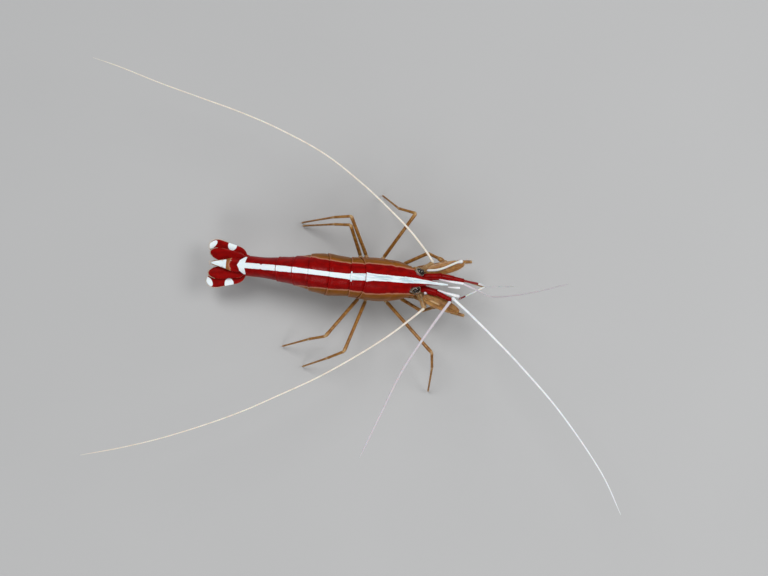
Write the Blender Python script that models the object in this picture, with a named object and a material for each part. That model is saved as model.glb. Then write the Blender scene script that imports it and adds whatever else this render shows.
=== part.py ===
"""A cleaner shrimp, Lysmata amboinensis, as a still life-size model that stands on its walking legs.

Blender works in metres with +Z up. Every size and place below is in millimetres of the body's own frame, and
the two mesh helpers turn it into metres: the head is towards +X, the animal's left is +Y, the floor is Z = 0,
and X = 0 is the line across the back where the first abdominal shell meets the second. At the end the whole
animal is moved so that the origin is the middle of the bottom of its box.
"""

import math

import bpy
import numpy as np

MM = 0.001
GAP = 0.25  # between one piece and the next
SIDES = {"left": 1.0, "right": -1.0}

# The body along its back line: x, height of the back, half width, depth from back to lower edge.
BODY_STATIONS = np.array(
    [
        (-22.5, 10.6, 1.95, 3.5),
        (-19.2, 12.0, 2.00, 4.5),
        (-15.8, 13.4, 2.40, 5.8),
        (-12.3, 14.7, 2.95, 7.2),
        (-8.8, 15.6, 3.75, 8.5),
        (-4.4, 16.0, 4.30, 9.1),
        (0.0, 15.9, 4.10, 8.9),
        (3.1, 15.8, 4.35, 9.2),
        (6.1, 15.6, 4.45, 9.3),
        (8.2, 15.4, 4.25, 8.9),
        (10.2, 15.1, 3.90, 7.9),
        (12.75, 14.6, 3.10, 6.4),
    ]
)
# The edges between the shells, from the carapace's front to the joint with the telson: where each crosses the
# middle of the back, and where it ends at the lower edge of the flank.
SHELL_EDGES = (
    (12.75, 12.9),
    (3.15, 0.75),
    (0.0, -0.1),
    (-4.4, -6.2),
    (-8.8, -10.2),
    (-12.35, -13.4),
    (-15.8, -17.0),
    (-22.5, -22.2),
)
SHELL_NAMES = ("carapace",) + tuple(f"abdomen_{k}" for k in range(1, 7))
# Where each shell's rings stand along it, and how deep they reach, both as shares of the whole.
CARAPACE_RINGS = ((0.0, 0.08, 0.2, 0.45, 0.7, 0.9, 1.0), (0.84, 0.94, 1.0, 1.0, 1.0, 0.98, 0.88))
ABDOMEN_RINGS = ((0.0, 0.15, 0.5, 0.85, 1.0), (0.8, 0.95, 1.0, 0.95, 0.8))

SECTION_POINTS = 7  # on each half of a shell's section
SHELL_TURN = math.radians(128)  # how far round the flank a shell's section goes
BELLY_RISE = 1.1  # from the shell's lower edge up to the belly between its two sides
SHELL_WALL = 0.7

FEELER_SIDES = 1  # bevel resolution, which gives six sides
LIMB_SIDES = 2  # eight sides


# ---------------------------------------------------------------- scene, materials and mesh helpers


def clear_scene():
    for obj in list(bpy.data.objects):
        bpy.data.objects.remove(obj)


def make_material(name, colour, roughness):
    material = bpy.data.materials.new(name)
    material.use_nodes = True
    shader = material.node_tree.nodes["Principled BSDF"]
    shader.inputs["Base Color"].default_value = (*colour, 1.0)
    shader.inputs["Roughness"].default_value = roughness
    shader.inputs["Metallic"].default_value = 0.0
    return material


def make_materials():
    return {
        "crimson_shell": make_material("crimson_shell", (0.42, 0.01, 0.01), 0.25),
        "amber_flesh": make_material("amber_flesh", (0.48, 0.27, 0.08), 0.35),
        "white_feeler": make_material("white_feeler", (0.85, 0.86, 0.86), 0.35),
        "dark_eye": make_material("dark_eye", (0.03, 0.03, 0.03), 0.10),
    }


def link(obj, collection, datum, material):
    obj.data.materials.append(material)
    collection.objects.link(obj)
    obj.parent = datum
    return obj


def loft(name, rings, cap_pairs):
    """A closed solid through rings of equal point counts. cap_pairs are the two runs of ring points that face
    each other across an end, so that a hollowed section is capped without crossing its hollow."""
    count = len(rings[0])
    points = np.concatenate(rings) * MM
    faces = []
    for r in range(len(rings) - 1):
        for i in range(count):
            j = (i + 1) % count
            faces.append((r * count + i, r * count + j, (r + 1) * count + j, (r + 1) * count + i))
    near, far = cap_pairs
    last = (len(rings) - 1) * count
    for a, b, c, d in zip(near[:-1], near[1:], far[1:], far[:-1]):
        faces.append(tuple(dict.fromkeys((d, c, b, a))))
        faces.append(tuple(dict.fromkeys((last + a, last + b, last + c, last + d))))
    mesh = bpy.data.meshes.new(name)
    mesh.from_pydata([tuple(p) for p in points], [], faces)
    mesh.validate()
    mesh.shade_smooth()
    return bpy.data.objects.new(name, mesh)


def round_caps(count):
    """Cap pairs for a ring of an even count of points with no hollow: its first half against its second."""
    half = count // 2
    near = list(range(half + 1))
    far = [0] + list(range(count - 1, half - 1, -1))
    return near, far


def tube(name, route, radii, bevel_resolution):
    """A round limb along a route, as a curve with a radius at each point and filled ends."""
    curve = bpy.data.curves.new(name, "CURVE")
    curve.dimensions = "3D"
    curve.bevel_depth = MM
    curve.bevel_resolution = bevel_resolution
    curve.use_fill_caps = True
    spline = curve.splines.new("POLY")
    spline.points.add(len(route) - 1)
    for point, place, radius in zip(spline.points, route, radii):
        point.co = (*(np.asarray(place) * MM), 1.0)
        point.radius = radius
    return bpy.data.objects.new(name, curve)


def blade(name, outline, thickness):
    """A flat plate of the given outline, as a filled 2D curve with half the thickness on each side."""
    curve = bpy.data.curves.new(name, "CURVE")
    curve.dimensions = "2D"
    curve.fill_mode = "BOTH"
    curve.extrude = thickness / 2 * MM
    spline = curve.splines.new("POLY")
    spline.points.add(len(outline) - 1)
    for point, (along, across) in zip(spline.points, outline):
        point.co = (along * MM, across * MM, 0.0, 1.0)
    spline.use_cyclic_u = True
    return bpy.data.objects.new(name, curve)


# ---------------------------------------------------------------- curves and outlines


def smooth_route(points, count):
    """Points spaced evenly along a Catmull-Rom curve through the given ones."""
    p = np.asarray(points, float)
    p = np.vstack([2 * p[0] - p[1], p, 2 * p[-1] - p[-2]])
    spans = len(p) - 3
    t = np.linspace(0, spans, 12 * spans + 1)
    k = np.minimum(t.astype(int), spans - 1)
    u = (t - k)[:, None]
    a, b, c, d = p[k], p[k + 1], p[k + 2], p[k + 3]
    fine = 0.5 * (2 * b + (c - a) * u + (2 * a - 5 * b + 4 * c - d) * u**2 + (3 * b - a - 3 * c + d) * u**3)
    along = np.concatenate([[0], np.cumsum(np.linalg.norm(np.diff(fine, axis=0), axis=1))])
    at = np.linspace(0, along[-1], count)
    return np.stack([np.interp(at, along, fine[:, axis]) for axis in range(3)], axis=1)


def jointed_route(joints, bend):
    """The joints' route with each inner corner rounded over a length bend on both sides of it."""
    p = np.asarray(joints, float)
    route = [p[0]]
    for before, corner, after in zip(p[:-2], p[1:-1], p[2:]):
        start = corner + (before - corner) * min(0.4, bend / np.linalg.norm(before - corner))
        end = corner + (after - corner) * min(0.4, bend / np.linalg.norm(after - corner))
        route += [start, (start + 2 * corner + end) / 4, end]
    return np.array(route + [p[-1]])


def share_along(route):
    """How far along the route each of its points is, from 0 to 1."""
    along = np.concatenate([[0], np.cumsum(np.linalg.norm(np.diff(route, axis=0), axis=1))])
    return along / along[-1]


def leaf_outline(length, width, widest, tip, count=20):
    """A leaf from (0, 0) along +X. widest is where it is broadest, as a share of the length, and tip is how
    square its far end is: 1 comes to a point and smaller values are blunter."""
    t = (1 - np.cos(np.linspace(0, math.pi, count // 2 + 1))) / 2
    power = math.log(0.5) / math.log(widest)
    half = width / 2 * np.sin(math.pi * t**power) ** tip
    half[0] = half[-1] = 0.0
    upper = np.column_stack([t * length, half])
    lower = np.column_stack([t * length, -half])[::-1]
    return np.concatenate([upper, lower[1:-1]])


def paddle_outline(length, width, base=0.25, tip=0.68, count=22):
    """A broad paddle from (0, 0) along +X, rounded off before the share base of its length and after tip."""
    t = (1 - np.cos(np.linspace(0, math.pi, count // 2 + 1))) / 2
    root = 1 - np.minimum(t / base, 1)
    end = np.maximum((t - tip) / (1 - tip), 0)
    half = width / 2 * np.sqrt(np.maximum((1 - root**2) * (1 - end**2), 0))
    upper = np.column_stack([t * length, half])
    lower = np.column_stack([t * length, -half])[::-1]
    return np.concatenate([upper, lower[1:-1]])


# ---------------------------------------------------------------- body


def body_at(x):
    """Height of the back, half width and depth at each x, from a cubic through the stations."""
    s = BODY_STATIONS
    slopes = np.gradient(s[:, 1:], s[:, 0], axis=0)
    x = np.atleast_1d(np.asarray(x, float))
    k = np.clip(np.searchsorted(s[:, 0], x) - 1, 0, len(s) - 2)
    h = (s[k + 1, 0] - s[k, 0])[:, None]
    u = (x - s[k, 0])[:, None] / h
    value = (
        (2 * u**3 - 3 * u**2 + 1) * s[k, 1:]
        + (u**3 - 2 * u**2 + u) * h * slopes[k]
        + (3 * u**2 - 2 * u**3) * s[k + 1, 1:]
        + (u**3 - u**2) * h * slopes[k + 1]
    )
    return value.T


def back_slope(x):
    """The angle of the back line below the horizontal, towards the tail."""
    return np.arctan2(body_at(x + 0.2)[0] - body_at(x - 0.2)[0], 0.4)


def section_turn():
    return np.linspace(SHELL_TURN, -SHELL_TURN, 2 * SECTION_POINTS - 1)


def edge_line(edge, inset):
    """Where a shell's edge is along the back line, for each turn of the section: it sweeps from its place on
    the back to its place at the lower edge. inset moves it along."""
    middle, side = edge
    sweep = (1 - np.cos(section_turn())) / (1 - math.cos(SHELL_TURN))
    return middle + (side - middle) * sweep + inset


def shell_ring(x, depth_share):
    """A shell's ring, square to the back line at each x: over the back from the left lower edge to the right
    one, then back along the belly."""
    turn = section_turn()
    top, half_width, depth = body_at(x)
    depth = depth * depth_share
    over = np.array(
        [half_width * np.sin(turn), depth * (1 - np.cos(turn)) / (1 - math.cos(SHELL_TURN))]
    )
    share = np.linspace(-1, 1, len(turn))
    lower_x, lower_half, lower_depth = x[0], half_width[0], depth[0]
    belly_half = lower_half * math.sin(SHELL_TURN) - SHELL_WALL * min(1.0, lower_half / 4)
    rise = min(BELLY_RISE, 0.25 * lower_depth)
    belly = np.array([belly_half * share, lower_depth - rise * (1 - np.abs(share) ** 6)])
    across, down = np.concatenate([over, belly], axis=1)
    x = np.concatenate([x, np.full(len(share), lower_x)])
    slope = back_slope(x)
    return np.column_stack([x + down * np.sin(slope), across, body_at(x)[0] - down * np.cos(slope)])


def make_shell(name, front, back):
    """One shell between two edges, its lower edge rounded up at both ends."""
    front, back = edge_line(front, -GAP), edge_line(back, 0.0)
    rings = [
        shell_ring(back + (front - back) * share, depth_share)
        for share, depth_share in zip(*(CARAPACE_RINGS if name == "carapace" else ABDOMEN_RINGS))
    ]
    arc = 2 * SECTION_POINTS - 1
    return loft(name, rings, (list(range(arc)), list(range(2 * arc - 1, arc - 1, -1))))


def make_shells():
    for name, front, back in zip(SHELL_NAMES, SHELL_EDGES[:-1], SHELL_EDGES[1:]):
        yield make_shell(name, front, back), "crimson_shell"


def block(name, stations):
    """A rounded body under the shells: at each x, a ring with the given half width, bottom and top."""
    turn = np.linspace(0, 2 * math.pi, 12, endpoint=False)
    rings = []
    for x, half_width, bottom, top in stations:
        across = half_width * np.sign(np.cos(turn)) * np.abs(np.cos(turn)) ** 0.6
        up = (bottom + top) / 2 + (top - bottom) / 2 * np.sign(np.sin(turn)) * np.abs(np.sin(turn)) ** 0.6
        rings.append(np.column_stack([np.full(12, x), across, up]))
    return loft(name, rings, round_caps(12))


# Under the shells: x, half width, bottom and top at each station.
UNDERSIDE = {
    "thorax": [(0.9, 1.2, 5.6, 7.0), (3.0, 1.6, 4.9, 6.9), (8.5, 1.6, 4.9, 6.9), (10.4, 1.3, 5.4, 7.0)],
    "mouthparts": [
        (10.7, 1.2, 5.9, 7.6), (12.2, 1.5, 5.6, 7.8), (14.0, 1.2, 6.2, 8.2), (15.0, 0.7, 6.9, 8.2),
    ],
    "head_front": [(12.85, 1.7, 8.6, 12.0), (14.0, 1.5, 8.8, 11.6), (14.7, 1.1, 9.2, 11.2)],
}


def make_underside():
    """The thorax floor that carries the legs, the mouthparts before it and the block behind the feelers."""
    for name, stations in UNDERSIDE.items():
        yield block(name, stations), "amber_flesh"


# ---------------------------------------------------------------- rostrum, eyes and feelers

ROSTRUM_BACK, ROSTRUM_TIP = 12.9, 20.3
ROSTRUM_TEETH = 4
EYE_RADIUS = 1.0
EYES = {"left": (14.3, 2.35, 13.2), "right": (13.85, -1.8, 13.2)}
ANTENNULES = {
    "left": [(14.95, 1.15, 11.9), (19.2, 1.45, 12.9), (21.6, 1.3, 13.4), (23.5, 1.15, 13.8)],
    "right": [(14.95, -1.2, 11.9), (18.2, -1.95, 12.8), (20.0, -2.6, 13.3), (21.1, -3.0, 13.6)],
}
ANTENNULE_RADII = (0.62, 0.6, 0.52, 0.45)
# Each long feeler as the few points that its curve runs through.
ANTENNULE_FEELERS = {
    "outer_left": [
        (23.95, 1.45, 14.1), (26.6, 0.95, 16.2), (28.0, 0.6, 20.0), (30.1, 0.7, 34.0),
        (32.3, 1.0, 50.0),
    ],
    "inner_left": [
        (23.8, 0.65, 13.6), (26.4, -0.4, 16.4), (29.8, -1.4, 24.0), (35.8, 0.0, 42.0),
        (41.9, 2.4, 62.0),
    ],
    "outer_right": [
        (21.7, -3.25, 13.8), (31.5, -10.7, 17.0), (42.3, -20.9, 20.0), (52.5, -32.2, 23.0),
        (59.8, -43.1, 26.0),
    ],
    "inner_right": [
        (21.1, -3.85, 13.9), (17.5, -9.4, 22.0), (12.9, -17.8, 34.0), (9.7, -25.2, 45.0),
        (5.9, -34.5, 57.0),
    ],
}
ANTENNA_BASES = {
    "left": [(14.95, 2.3, 10.1), (15.9, 3.6, 10.5), (16.75, 4.35, 10.9)],
    "right": [(14.95, -2.3, 10.1), (15.6, -3.4, 10.5), (16.2, -4.25, 10.9)],
}
ANTENNA_BASE_RADII = (0.65, 0.6, 0.45)
ANTENNAE = {
    "left": [
        (16.85, 4.75, 11.2), (5.5, 16.5, 14.0), (-13.4, 28.6, 18.0), (-34.5, 34.2, 21.0),
        (-57.0, 39.4, 24.0),
    ],
    "right": [
        (16.1, -4.7, 11.2), (1.4, -16.8, 14.0), (-15.7, -29.0, 17.0), (-33.7, -37.6, 21.0),
        (-51.9, -41.9, 24.0),
    ],
}
FEELER_RADII = (0.3, 0.25)  # at the base and at the tip
FEELER_POINTS = 26
SCALE_LENGTH, SCALE_WIDTH, SCALE_THICK = 7.9, 2.3, 0.5
SCALES = {"left": ((15.5, 2.55, 12.2), 17.0), "right": ((15.4, -2.95, 12.2), -17.0)}  # root, and turn in degrees


def make_rostrum():
    """The beak between the eyes: a narrow keel that tapers forward, with teeth along its upper edge."""
    rings = []
    for step in range(3 * ROSTRUM_TEETH + 1):
        t = step / (3 * ROSTRUM_TEETH)
        x = ROSTRUM_BACK + (ROSTRUM_TIP - ROSTRUM_BACK) * t
        tooth = (0.0, 0.16, 0.34)[step % 3] * (1 - 0.5 * t)
        top = 14.65 + 0.6 * t + tooth
        bottom = 13.75 + 1.0 * t
        half = 0.85 * (1 - t) + 0.25
        shoulder = (0.45 * top + 0.55 * bottom) if t < 1 else (top + bottom) / 2
        rings.append(
            np.array(
                [
                    (x, 0.0, bottom),
                    (x, half, shoulder),
                    (x, 0.45 * half, top - tooth - 0.05),
                    (x, 0.0, top),
                    (x, -0.45 * half, top - tooth - 0.05),
                    (x, -half, shoulder),
                ]
            )
        )
    return loft("rostrum", rings, round_caps(6))


def make_eyes():
    """A round cornea on each side, and the stalk that carries it from between the feelers."""
    for side, sign in SIDES.items():
        centre = np.array(EYES[side])
        root = np.array((13.25, 0.62 * sign, 12.45))
        out = (centre - root) / np.linalg.norm(centre - root)
        bpy.ops.mesh.primitive_uv_sphere_add(
            segments=14, ring_count=9, radius=EYE_RADIUS * MM, location=tuple(centre * MM)
        )
        eye = bpy.context.object
        eye.name = eye.data.name = f"eye_{side}"
        eye.data.shade_smooth()
        for collection in list(eye.users_collection):
            collection.objects.unlink(eye)
        yield eye, "dark_eye"
        end = centre - out * (EYE_RADIUS + 0.08)
        yield tube(f"eyestalk_{side}", [root, (root + end) / 2, end], (0.3, 0.36, 0.45), LIMB_SIDES), "amber_flesh"


def make_antennules():
    """The three-jointed red stem of each antennule and the two feelers that it carries."""
    for side in SIDES:
        route = jointed_route(ANTENNULES[side], 0.3)
        radii = np.interp(np.linspace(0, 3, len(route)), range(4), ANTENNULE_RADII)
        yield tube(f"antennule_{side}", route, radii, LIMB_SIDES), "crimson_shell"
    for name, points in ANTENNULE_FEELERS.items():
        yield make_feeler(f"antennule_feeler_{name}", points), "white_feeler"


def make_feeler(name, points):
    radii = np.linspace(*FEELER_RADII, FEELER_POINTS)
    return tube(name, smooth_route(points, FEELER_POINTS), radii, FEELER_SIDES)


def make_antennae():
    """Each antenna: its stem, its long feeler and the flat scale beside it."""
    for side, sign in SIDES.items():
        route = jointed_route(ANTENNA_BASES[side], 0.3)
        radii = np.interp(np.linspace(0, 2, len(route)), range(3), ANTENNA_BASE_RADII)
        yield tube(f"antenna_base_{side}", route, radii, LIMB_SIDES), "amber_flesh"
        yield make_feeler(f"antenna_{side}", ANTENNAE[side]), "white_feeler"
        root, turn = SCALES[side]
        scale = blade(f"antennal_scale_{side}", leaf_outline(SCALE_LENGTH, SCALE_WIDTH, 0.5, 0.6), SCALE_THICK)
        scale.location = np.array(root) * MM
        scale.rotation_euler = (0.0, 0.0, math.radians(turn))
        yield scale, "amber_flesh"


# ---------------------------------------------------------------- legs

FOOT_RISE = 0.8  # the last stretch of a walking leg, which stands upright on its flat foot
WALKING_RADII = (0.45, 0.42, 0.36, 0.31, 0.27, 0.25)
# Joints of each walking leg: hip, end of the ischium, knee, end of the carpus, and the foot's place on the floor.
WALKING_LEGS = {
    "leg_3_left": [
        (5.3, 1.95, 5.3), (6.4, 4.7, 5.7), (12.2, 14.4, 12.0), (8.5, 15.2, 8.6), (4.9, 17.8, 0.0),
    ],
    "leg_4_left": [
        (3.5, 1.95, 5.3), (2.5, 4.8, 5.7), (-1.3, 12.6, 12.0), (-4.9, 12.1, 9.2), (-11.8, 10.6, 0.0),
    ],
    "leg_5_left": [
        (1.8, 1.7, 5.3), (0.6, 4.6, 5.3), (-1.6, 10.5, 10.6), (-4.9, 10.4, 8.0), (-11.3, 9.3, 0.0),
    ],
    "leg_3_right": [
        (5.3, -1.95, 5.3), (7.9, -4.7, 5.7), (18.4, -14.4, 10.5), (18.8, -17.6, 7.4),
        (18.6, -22.8, 0.0),
    ],
    "leg_4_right": [
        (3.5, -1.95, 5.3), (3.4, -5.0, 5.6), (0.0, -15.9, 10.5), (-3.4, -17.7, 7.8), (-8.6, -20.2, 0.0),
    ],
    "leg_5_right": [
        (1.8, -1.7, 5.3), (1.3, -4.6, 5.4), (-4.6, -13.2, 10.2), (-7.9, -14.2, 7.4),
        (-13.3, -16.3, 0.0),
    ],
}
# Joints of the limbs that reach forward under the head. The first two pairs of legs end in small claws.
REACHING_LIMBS = {
    "leg_1_left": [
        (8.9, 1.95, 5.4), (10.8, 3.7, 5.5), (15.6, 6.4, 7.6), (17.9, 5.6, 5.6), (20.6, 4.4, 4.4),
    ],
    "leg_1_right": [
        (8.9, -1.95, 5.4), (10.8, -3.7, 5.5), (15.4, -5.9, 7.4), (17.6, -5.0, 5.4), (20.4, -3.9, 4.4),
    ],
    "leg_2_left": [
        (7.1, 1.95, 5.1), (9.2, 3.1, 3.9), (19.4, 2.3, 5.8), (28.2, 0.5, 8.8), (22.9, -2.7, 9.2),
    ],
    "leg_2_right": [
        (7.1, -1.95, 5.1), (9.2, -3.1, 3.9), (17.4, -3.2, 5.2), (21.6, -2.6, 3.6), (18.3, -1.6, 2.4),
    ],
    "maxilliped_left": [
        (10.6, 2.0, 6.0), (13.6, 3.0, 6.8), (18.6, 4.4, 7.7), (21.8, 5.1, 7.5), (25.0, 5.5, 6.9),
    ],
    "maxilliped_right": [
        (10.6, -2.0, 6.0), (13.4, -2.9, 6.7), (18.3, -4.6, 7.5), (21.4, -5.4, 7.4), (24.5, -6.0, 6.9),
    ],
}
REACHING_RADII = {
    "leg_1": ((0.0, 0.5, 0.75, 0.88, 1.0), (0.42, 0.4, 0.36, 0.5, 0.26)),
    "leg_2": ((0.0, 0.5, 0.8, 0.93, 1.0), (0.4, 0.34, 0.3, 0.36, 0.25)),
    "maxilliped": ((0.0, 0.3, 0.6, 0.9, 1.0), (0.42, 0.45, 0.38, 0.33, 0.26)),
}


def make_limbs():
    for name, joints in WALKING_LEGS.items():
        foot = np.array(joints[-1])
        joints = joints[:-1] + [tuple(foot + (0, 0, FOOT_RISE)), tuple(foot)]
        route = jointed_route(joints, 0.45)
        radii = np.interp(np.linspace(0, 5, len(route)), range(6), WALKING_RADII)
        yield tube(name, route, radii, LIMB_SIDES), "amber_flesh"
    for name, joints in REACHING_LIMBS.items():
        route = jointed_route(joints, 0.5)
        radii = np.interp(share_along(route), *REACHING_RADII[name.rsplit("_", 1)[0]])
        yield tube(name, route, radii, LIMB_SIDES), "amber_flesh"


# ---------------------------------------------------------------- swimmerets and tail fan

SWIMMERETS = {1: (0.4, 4.6), 2: (-2.2, 5.2), 3: (-6.6, 5.2), 4: (-10.5, 4.8), 5: (-13.9, 4.2)}  # x and length
SWIMMERET_LEAN = math.radians(35)
SWIMMERET_THICK = 0.5
TELSON_ROOT, TELSON_LENGTH = (-22.8, 10.0), 7.35
TAIL_DIP = math.radians(15)
BLADE_THICK = 0.5
# Tail blades of one side: root's place along, beside the middle line and down, length, width and turn outwards.
TAIL_BLADES = {
    "endopod": (-22.1, 1.05, 8.6, 7.0, 2.3, 6.0),
    "exopod": (-21.75, 1.75, 7.9, 8.5, 3.5, 12.0),
}


def make_swimmerets():
    """A pair of paddles under each of the first five abdominal shells, leaning back."""
    for number, (x, length) in SWIMMERETS.items():
        top, half_width, depth = body_at(x)[:, 0]
        stalk, width = 0.35, 0.42 * half_width
        t = np.linspace(0.3, 1, 7)
        half = width / 2 * np.sin(math.pi * (0.18 + 0.82 * (t - 0.3) / 0.7)) ** 0.7 + 0.05
        outline = [(0.0, stalk), (0.22 * length, stalk)]
        outline += [(length * a, max(b, 0.12)) for a, b in zip(t, half)]
        outline += [(a, -b) for a, b in reversed(outline)]
        for side, sign in SIDES.items():
            paddle = blade(f"swimmeret_{number}_{side}", outline, SWIMMERET_THICK)
            belly = top - depth + min(BELLY_RISE, 0.25 * depth) - GAP - 0.25
            paddle.location = np.array((x, sign * 0.33 * half_width, belly)) * MM
            paddle.rotation_euler = (0.0, math.pi / 2 + SWIMMERET_LEAN, 0.0)
            yield paddle, "amber_flesh"


def make_telson():
    """The tail's middle plate: a wedge that narrows and thins towards its tip."""
    rings = []
    for t in np.linspace(0, 1, 7):
        half = np.interp(t, (0.0, 0.35, 1.0), (1.25, 1.4, 0.35))
        thick = 1.0 * (1 - t) + 0.5 * t
        x = TELSON_ROOT[0] - TELSON_LENGTH * math.cos(TAIL_DIP) * t
        top = TELSON_ROOT[1] - TELSON_LENGTH * math.sin(TAIL_DIP) * t
        rings.append(
            np.array(
                [
                    (x, 0.0, top),
                    (x, -0.7 * half, top - 0.12 * thick),
                    (x, -half, top - 0.7 * thick),
                    (x, -0.8 * half, top - thick),
                    (x, 0.8 * half, top - thick),
                    (x, half, top - 0.7 * thick),
                    (x, 0.7 * half, top - 0.12 * thick),
                ]
            )
        )
    return loft("telson", rings[::-1], ([0, 1, 2, 3], [0, 6, 5, 4])), "crimson_shell"


def make_tail_fan():
    for blade_name, (along, beside, height, length, width, turn) in TAIL_BLADES.items():
        for side, sign in SIDES.items():
            plate = blade(f"{blade_name}_{side}", paddle_outline(length, width), BLADE_THICK)
            plate.location = np.array((along, sign * beside, height)) * MM
            plate.rotation_euler = (0.0, TAIL_DIP, math.pi - sign * math.radians(turn))
            yield plate, "crimson_shell"


# ---------------------------------------------------------------- the whole animal


def box_middle(objects):
    """Middle of the bottom of the box round all the objects, in metres."""
    graph = bpy.context.evaluated_depsgraph_get()
    low, high = np.full(3, np.inf), np.full(3, -np.inf)
    for obj in objects:
        evaluated = obj.evaluated_get(graph)
        mesh = evaluated.to_mesh()
        points = np.empty(len(mesh.vertices) * 3, np.float32)
        mesh.vertices.foreach_get("co", points)
        world = np.array(evaluated.matrix_world)
        points = points.reshape(-1, 3) @ world[:3, :3].T + world[:3, 3]
        low, high = np.minimum(low, points.min(axis=0)), np.maximum(high, points.max(axis=0))
        evaluated.to_mesh_clear()
    return (low[0] + high[0]) / 2, (low[1] + high[1]) / 2, low[2]


def main():
    clear_scene()
    materials = make_materials()
    collection = bpy.data.collections.new("cleaner_shrimp")
    bpy.context.scene.collection.children.link(collection)
    datum = bpy.data.objects.new("shrimp_datum", None)
    collection.objects.link(datum)
    pieces = [(make_rostrum(), "crimson_shell"), make_telson()]
    for maker in (
        make_shells,
        make_underside,
        make_eyes,
        make_antennules,
        make_antennae,
        make_limbs,
        make_swimmerets,
        make_tail_fan,
    ):
        pieces += list(maker())
    objects = [link(obj, collection, datum, materials[material]) for obj, material in pieces]
    bpy.context.view_layer.update()
    middle = box_middle(objects)
    datum.location = (-middle[0], -middle[1], -middle[2])


main()
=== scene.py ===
"""A cleaner shrimp's finished looks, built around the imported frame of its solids.

Places and sizes are in millimetres of the body's own frame: the head is towards +X, the animal's left is +Y,
the floor is Z = 0, and X = 0 is the line across the back between the first two abdominal shells. Skin.build
turns them into metres of the row's frame. Every surface is worked out as whole arrays on a grid.
"""

import logging
import math
from collections.abc import Iterator
from dataclasses import dataclass
from enum import Enum
from functools import cached_property

import bpy
import numpy as np
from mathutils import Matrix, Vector
from numpy.typing import NDArray


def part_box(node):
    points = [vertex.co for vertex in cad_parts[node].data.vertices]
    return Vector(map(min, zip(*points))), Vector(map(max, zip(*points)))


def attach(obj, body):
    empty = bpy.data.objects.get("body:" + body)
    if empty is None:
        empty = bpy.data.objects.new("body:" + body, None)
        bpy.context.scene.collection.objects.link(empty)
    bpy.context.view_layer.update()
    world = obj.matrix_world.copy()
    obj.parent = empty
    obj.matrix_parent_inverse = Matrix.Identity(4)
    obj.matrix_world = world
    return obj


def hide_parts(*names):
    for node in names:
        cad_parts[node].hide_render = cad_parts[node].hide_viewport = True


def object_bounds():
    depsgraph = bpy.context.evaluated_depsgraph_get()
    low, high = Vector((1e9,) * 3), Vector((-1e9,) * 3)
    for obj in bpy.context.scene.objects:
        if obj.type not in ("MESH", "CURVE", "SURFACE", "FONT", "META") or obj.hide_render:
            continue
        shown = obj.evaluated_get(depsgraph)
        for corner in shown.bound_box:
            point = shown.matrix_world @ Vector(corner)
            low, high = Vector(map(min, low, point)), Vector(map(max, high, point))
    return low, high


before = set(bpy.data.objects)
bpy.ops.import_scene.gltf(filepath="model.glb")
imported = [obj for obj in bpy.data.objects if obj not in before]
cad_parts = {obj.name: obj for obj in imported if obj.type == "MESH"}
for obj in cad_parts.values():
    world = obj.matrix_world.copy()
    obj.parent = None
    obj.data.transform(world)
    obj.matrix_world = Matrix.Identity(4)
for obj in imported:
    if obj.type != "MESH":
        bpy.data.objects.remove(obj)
CAD_BOX = [list(corner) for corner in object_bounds()]

Array = NDArray[np.float64]
Point = tuple[float, ...]
Socket = bpy.types.NodeSocket
LOG = logging.getLogger("cleaner_shrimp")
MM = 0.001
SHARP = math.radians(50)  # Edges that bend by more than this stay sharp.
TINY = 1e-12


class Side(Enum):
    """The animal's two sides, by the sign of Y."""

    LEFT = 1
    RIGHT = -1

    @property
    def word(self) -> str:
        """The side's name as the nodes spell it."""
        return self.name.lower()


EYES = {Side.LEFT: np.array((14.3, 2.35, 13.2)), Side.RIGHT: np.array((13.85, -1.8, 13.2))}


def body_datum() -> Array:
    """Where the body frame's zero lies in the row's frame, in metres, from the middles of the two eyes."""
    middles = [np.mean([np.array(c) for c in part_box(f"eye_{side.word}")], axis=0) for side in Side]
    return np.mean(middles, axis=0) - sum(EYES.values()) / 2 * MM


DATUM = body_datum()


# ------------------------------------------------------------------------------------- curves and profiles


def step(low: float, high: float, value: Array | float) -> Array:
    """The smooth step 3t² - 2t³ of value, from 0 at low to 1 at high."""
    t = np.clip((np.asarray(value, float) - low) / (high - low), 0, 1)
    return t * t * (3 - 2 * t)


def bump(value: Array | float, middle: float, width: float) -> Array:
    """The bell exp(-((value - middle) / width)²)."""
    return np.exp(-(((np.asarray(value, float) - middle) / width) ** 2))


def bell(value: Array, shape: Point) -> Array:
    """The bump of value whose height, middle and width are given in shape."""
    height, middle, width = shape
    return height * bump(value, middle, width)


def powered(value: Array, power: float) -> Array:
    """The size of each value raised to a power, with its sign kept."""
    return np.sign(value) * np.abs(value) ** power


def join(*columns: Array | float) -> Array:
    """The columns, spread to one shape, side by side along a new last axis."""
    return np.stack(np.broadcast_arrays(*columns), axis=-1)


def unit(vectors: Array | Point) -> Array:
    """The vectors at length one."""
    vectors = np.asarray(vectors, float)
    return vectors / np.maximum(np.linalg.norm(vectors, axis=-1, keepdims=True), TINY)


def circle(count: int) -> Array:
    """Angles spaced evenly round a circle."""
    return np.linspace(0, 2 * math.pi, count, endpoint=False)


def end_spaced(count: int) -> Array:
    """Shares from 0 to 1 that lie closer together towards both ends: (1 - cos) / 2."""
    return (1 - np.cos(np.linspace(0, math.pi, count))) / 2


def blend(start: Array | float, end: Array | float, share: Array) -> Array:
    """The value at a share of the way from start to end."""
    return start + (end - start) * share


def line(start: Array | Point, end: Array | Point, shares: Array) -> Array:
    """Points at shares of the way from start to end."""
    return np.array(start) + np.outer(shares, np.array(end) - np.array(start))


def share_along(path: Array) -> Array:
    """How far along a path each of its points is, from 0 to 1."""
    along = np.concatenate([[0], np.cumsum(np.linalg.norm(np.diff(path, axis=0), axis=1))])
    return along / along[-1]


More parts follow.
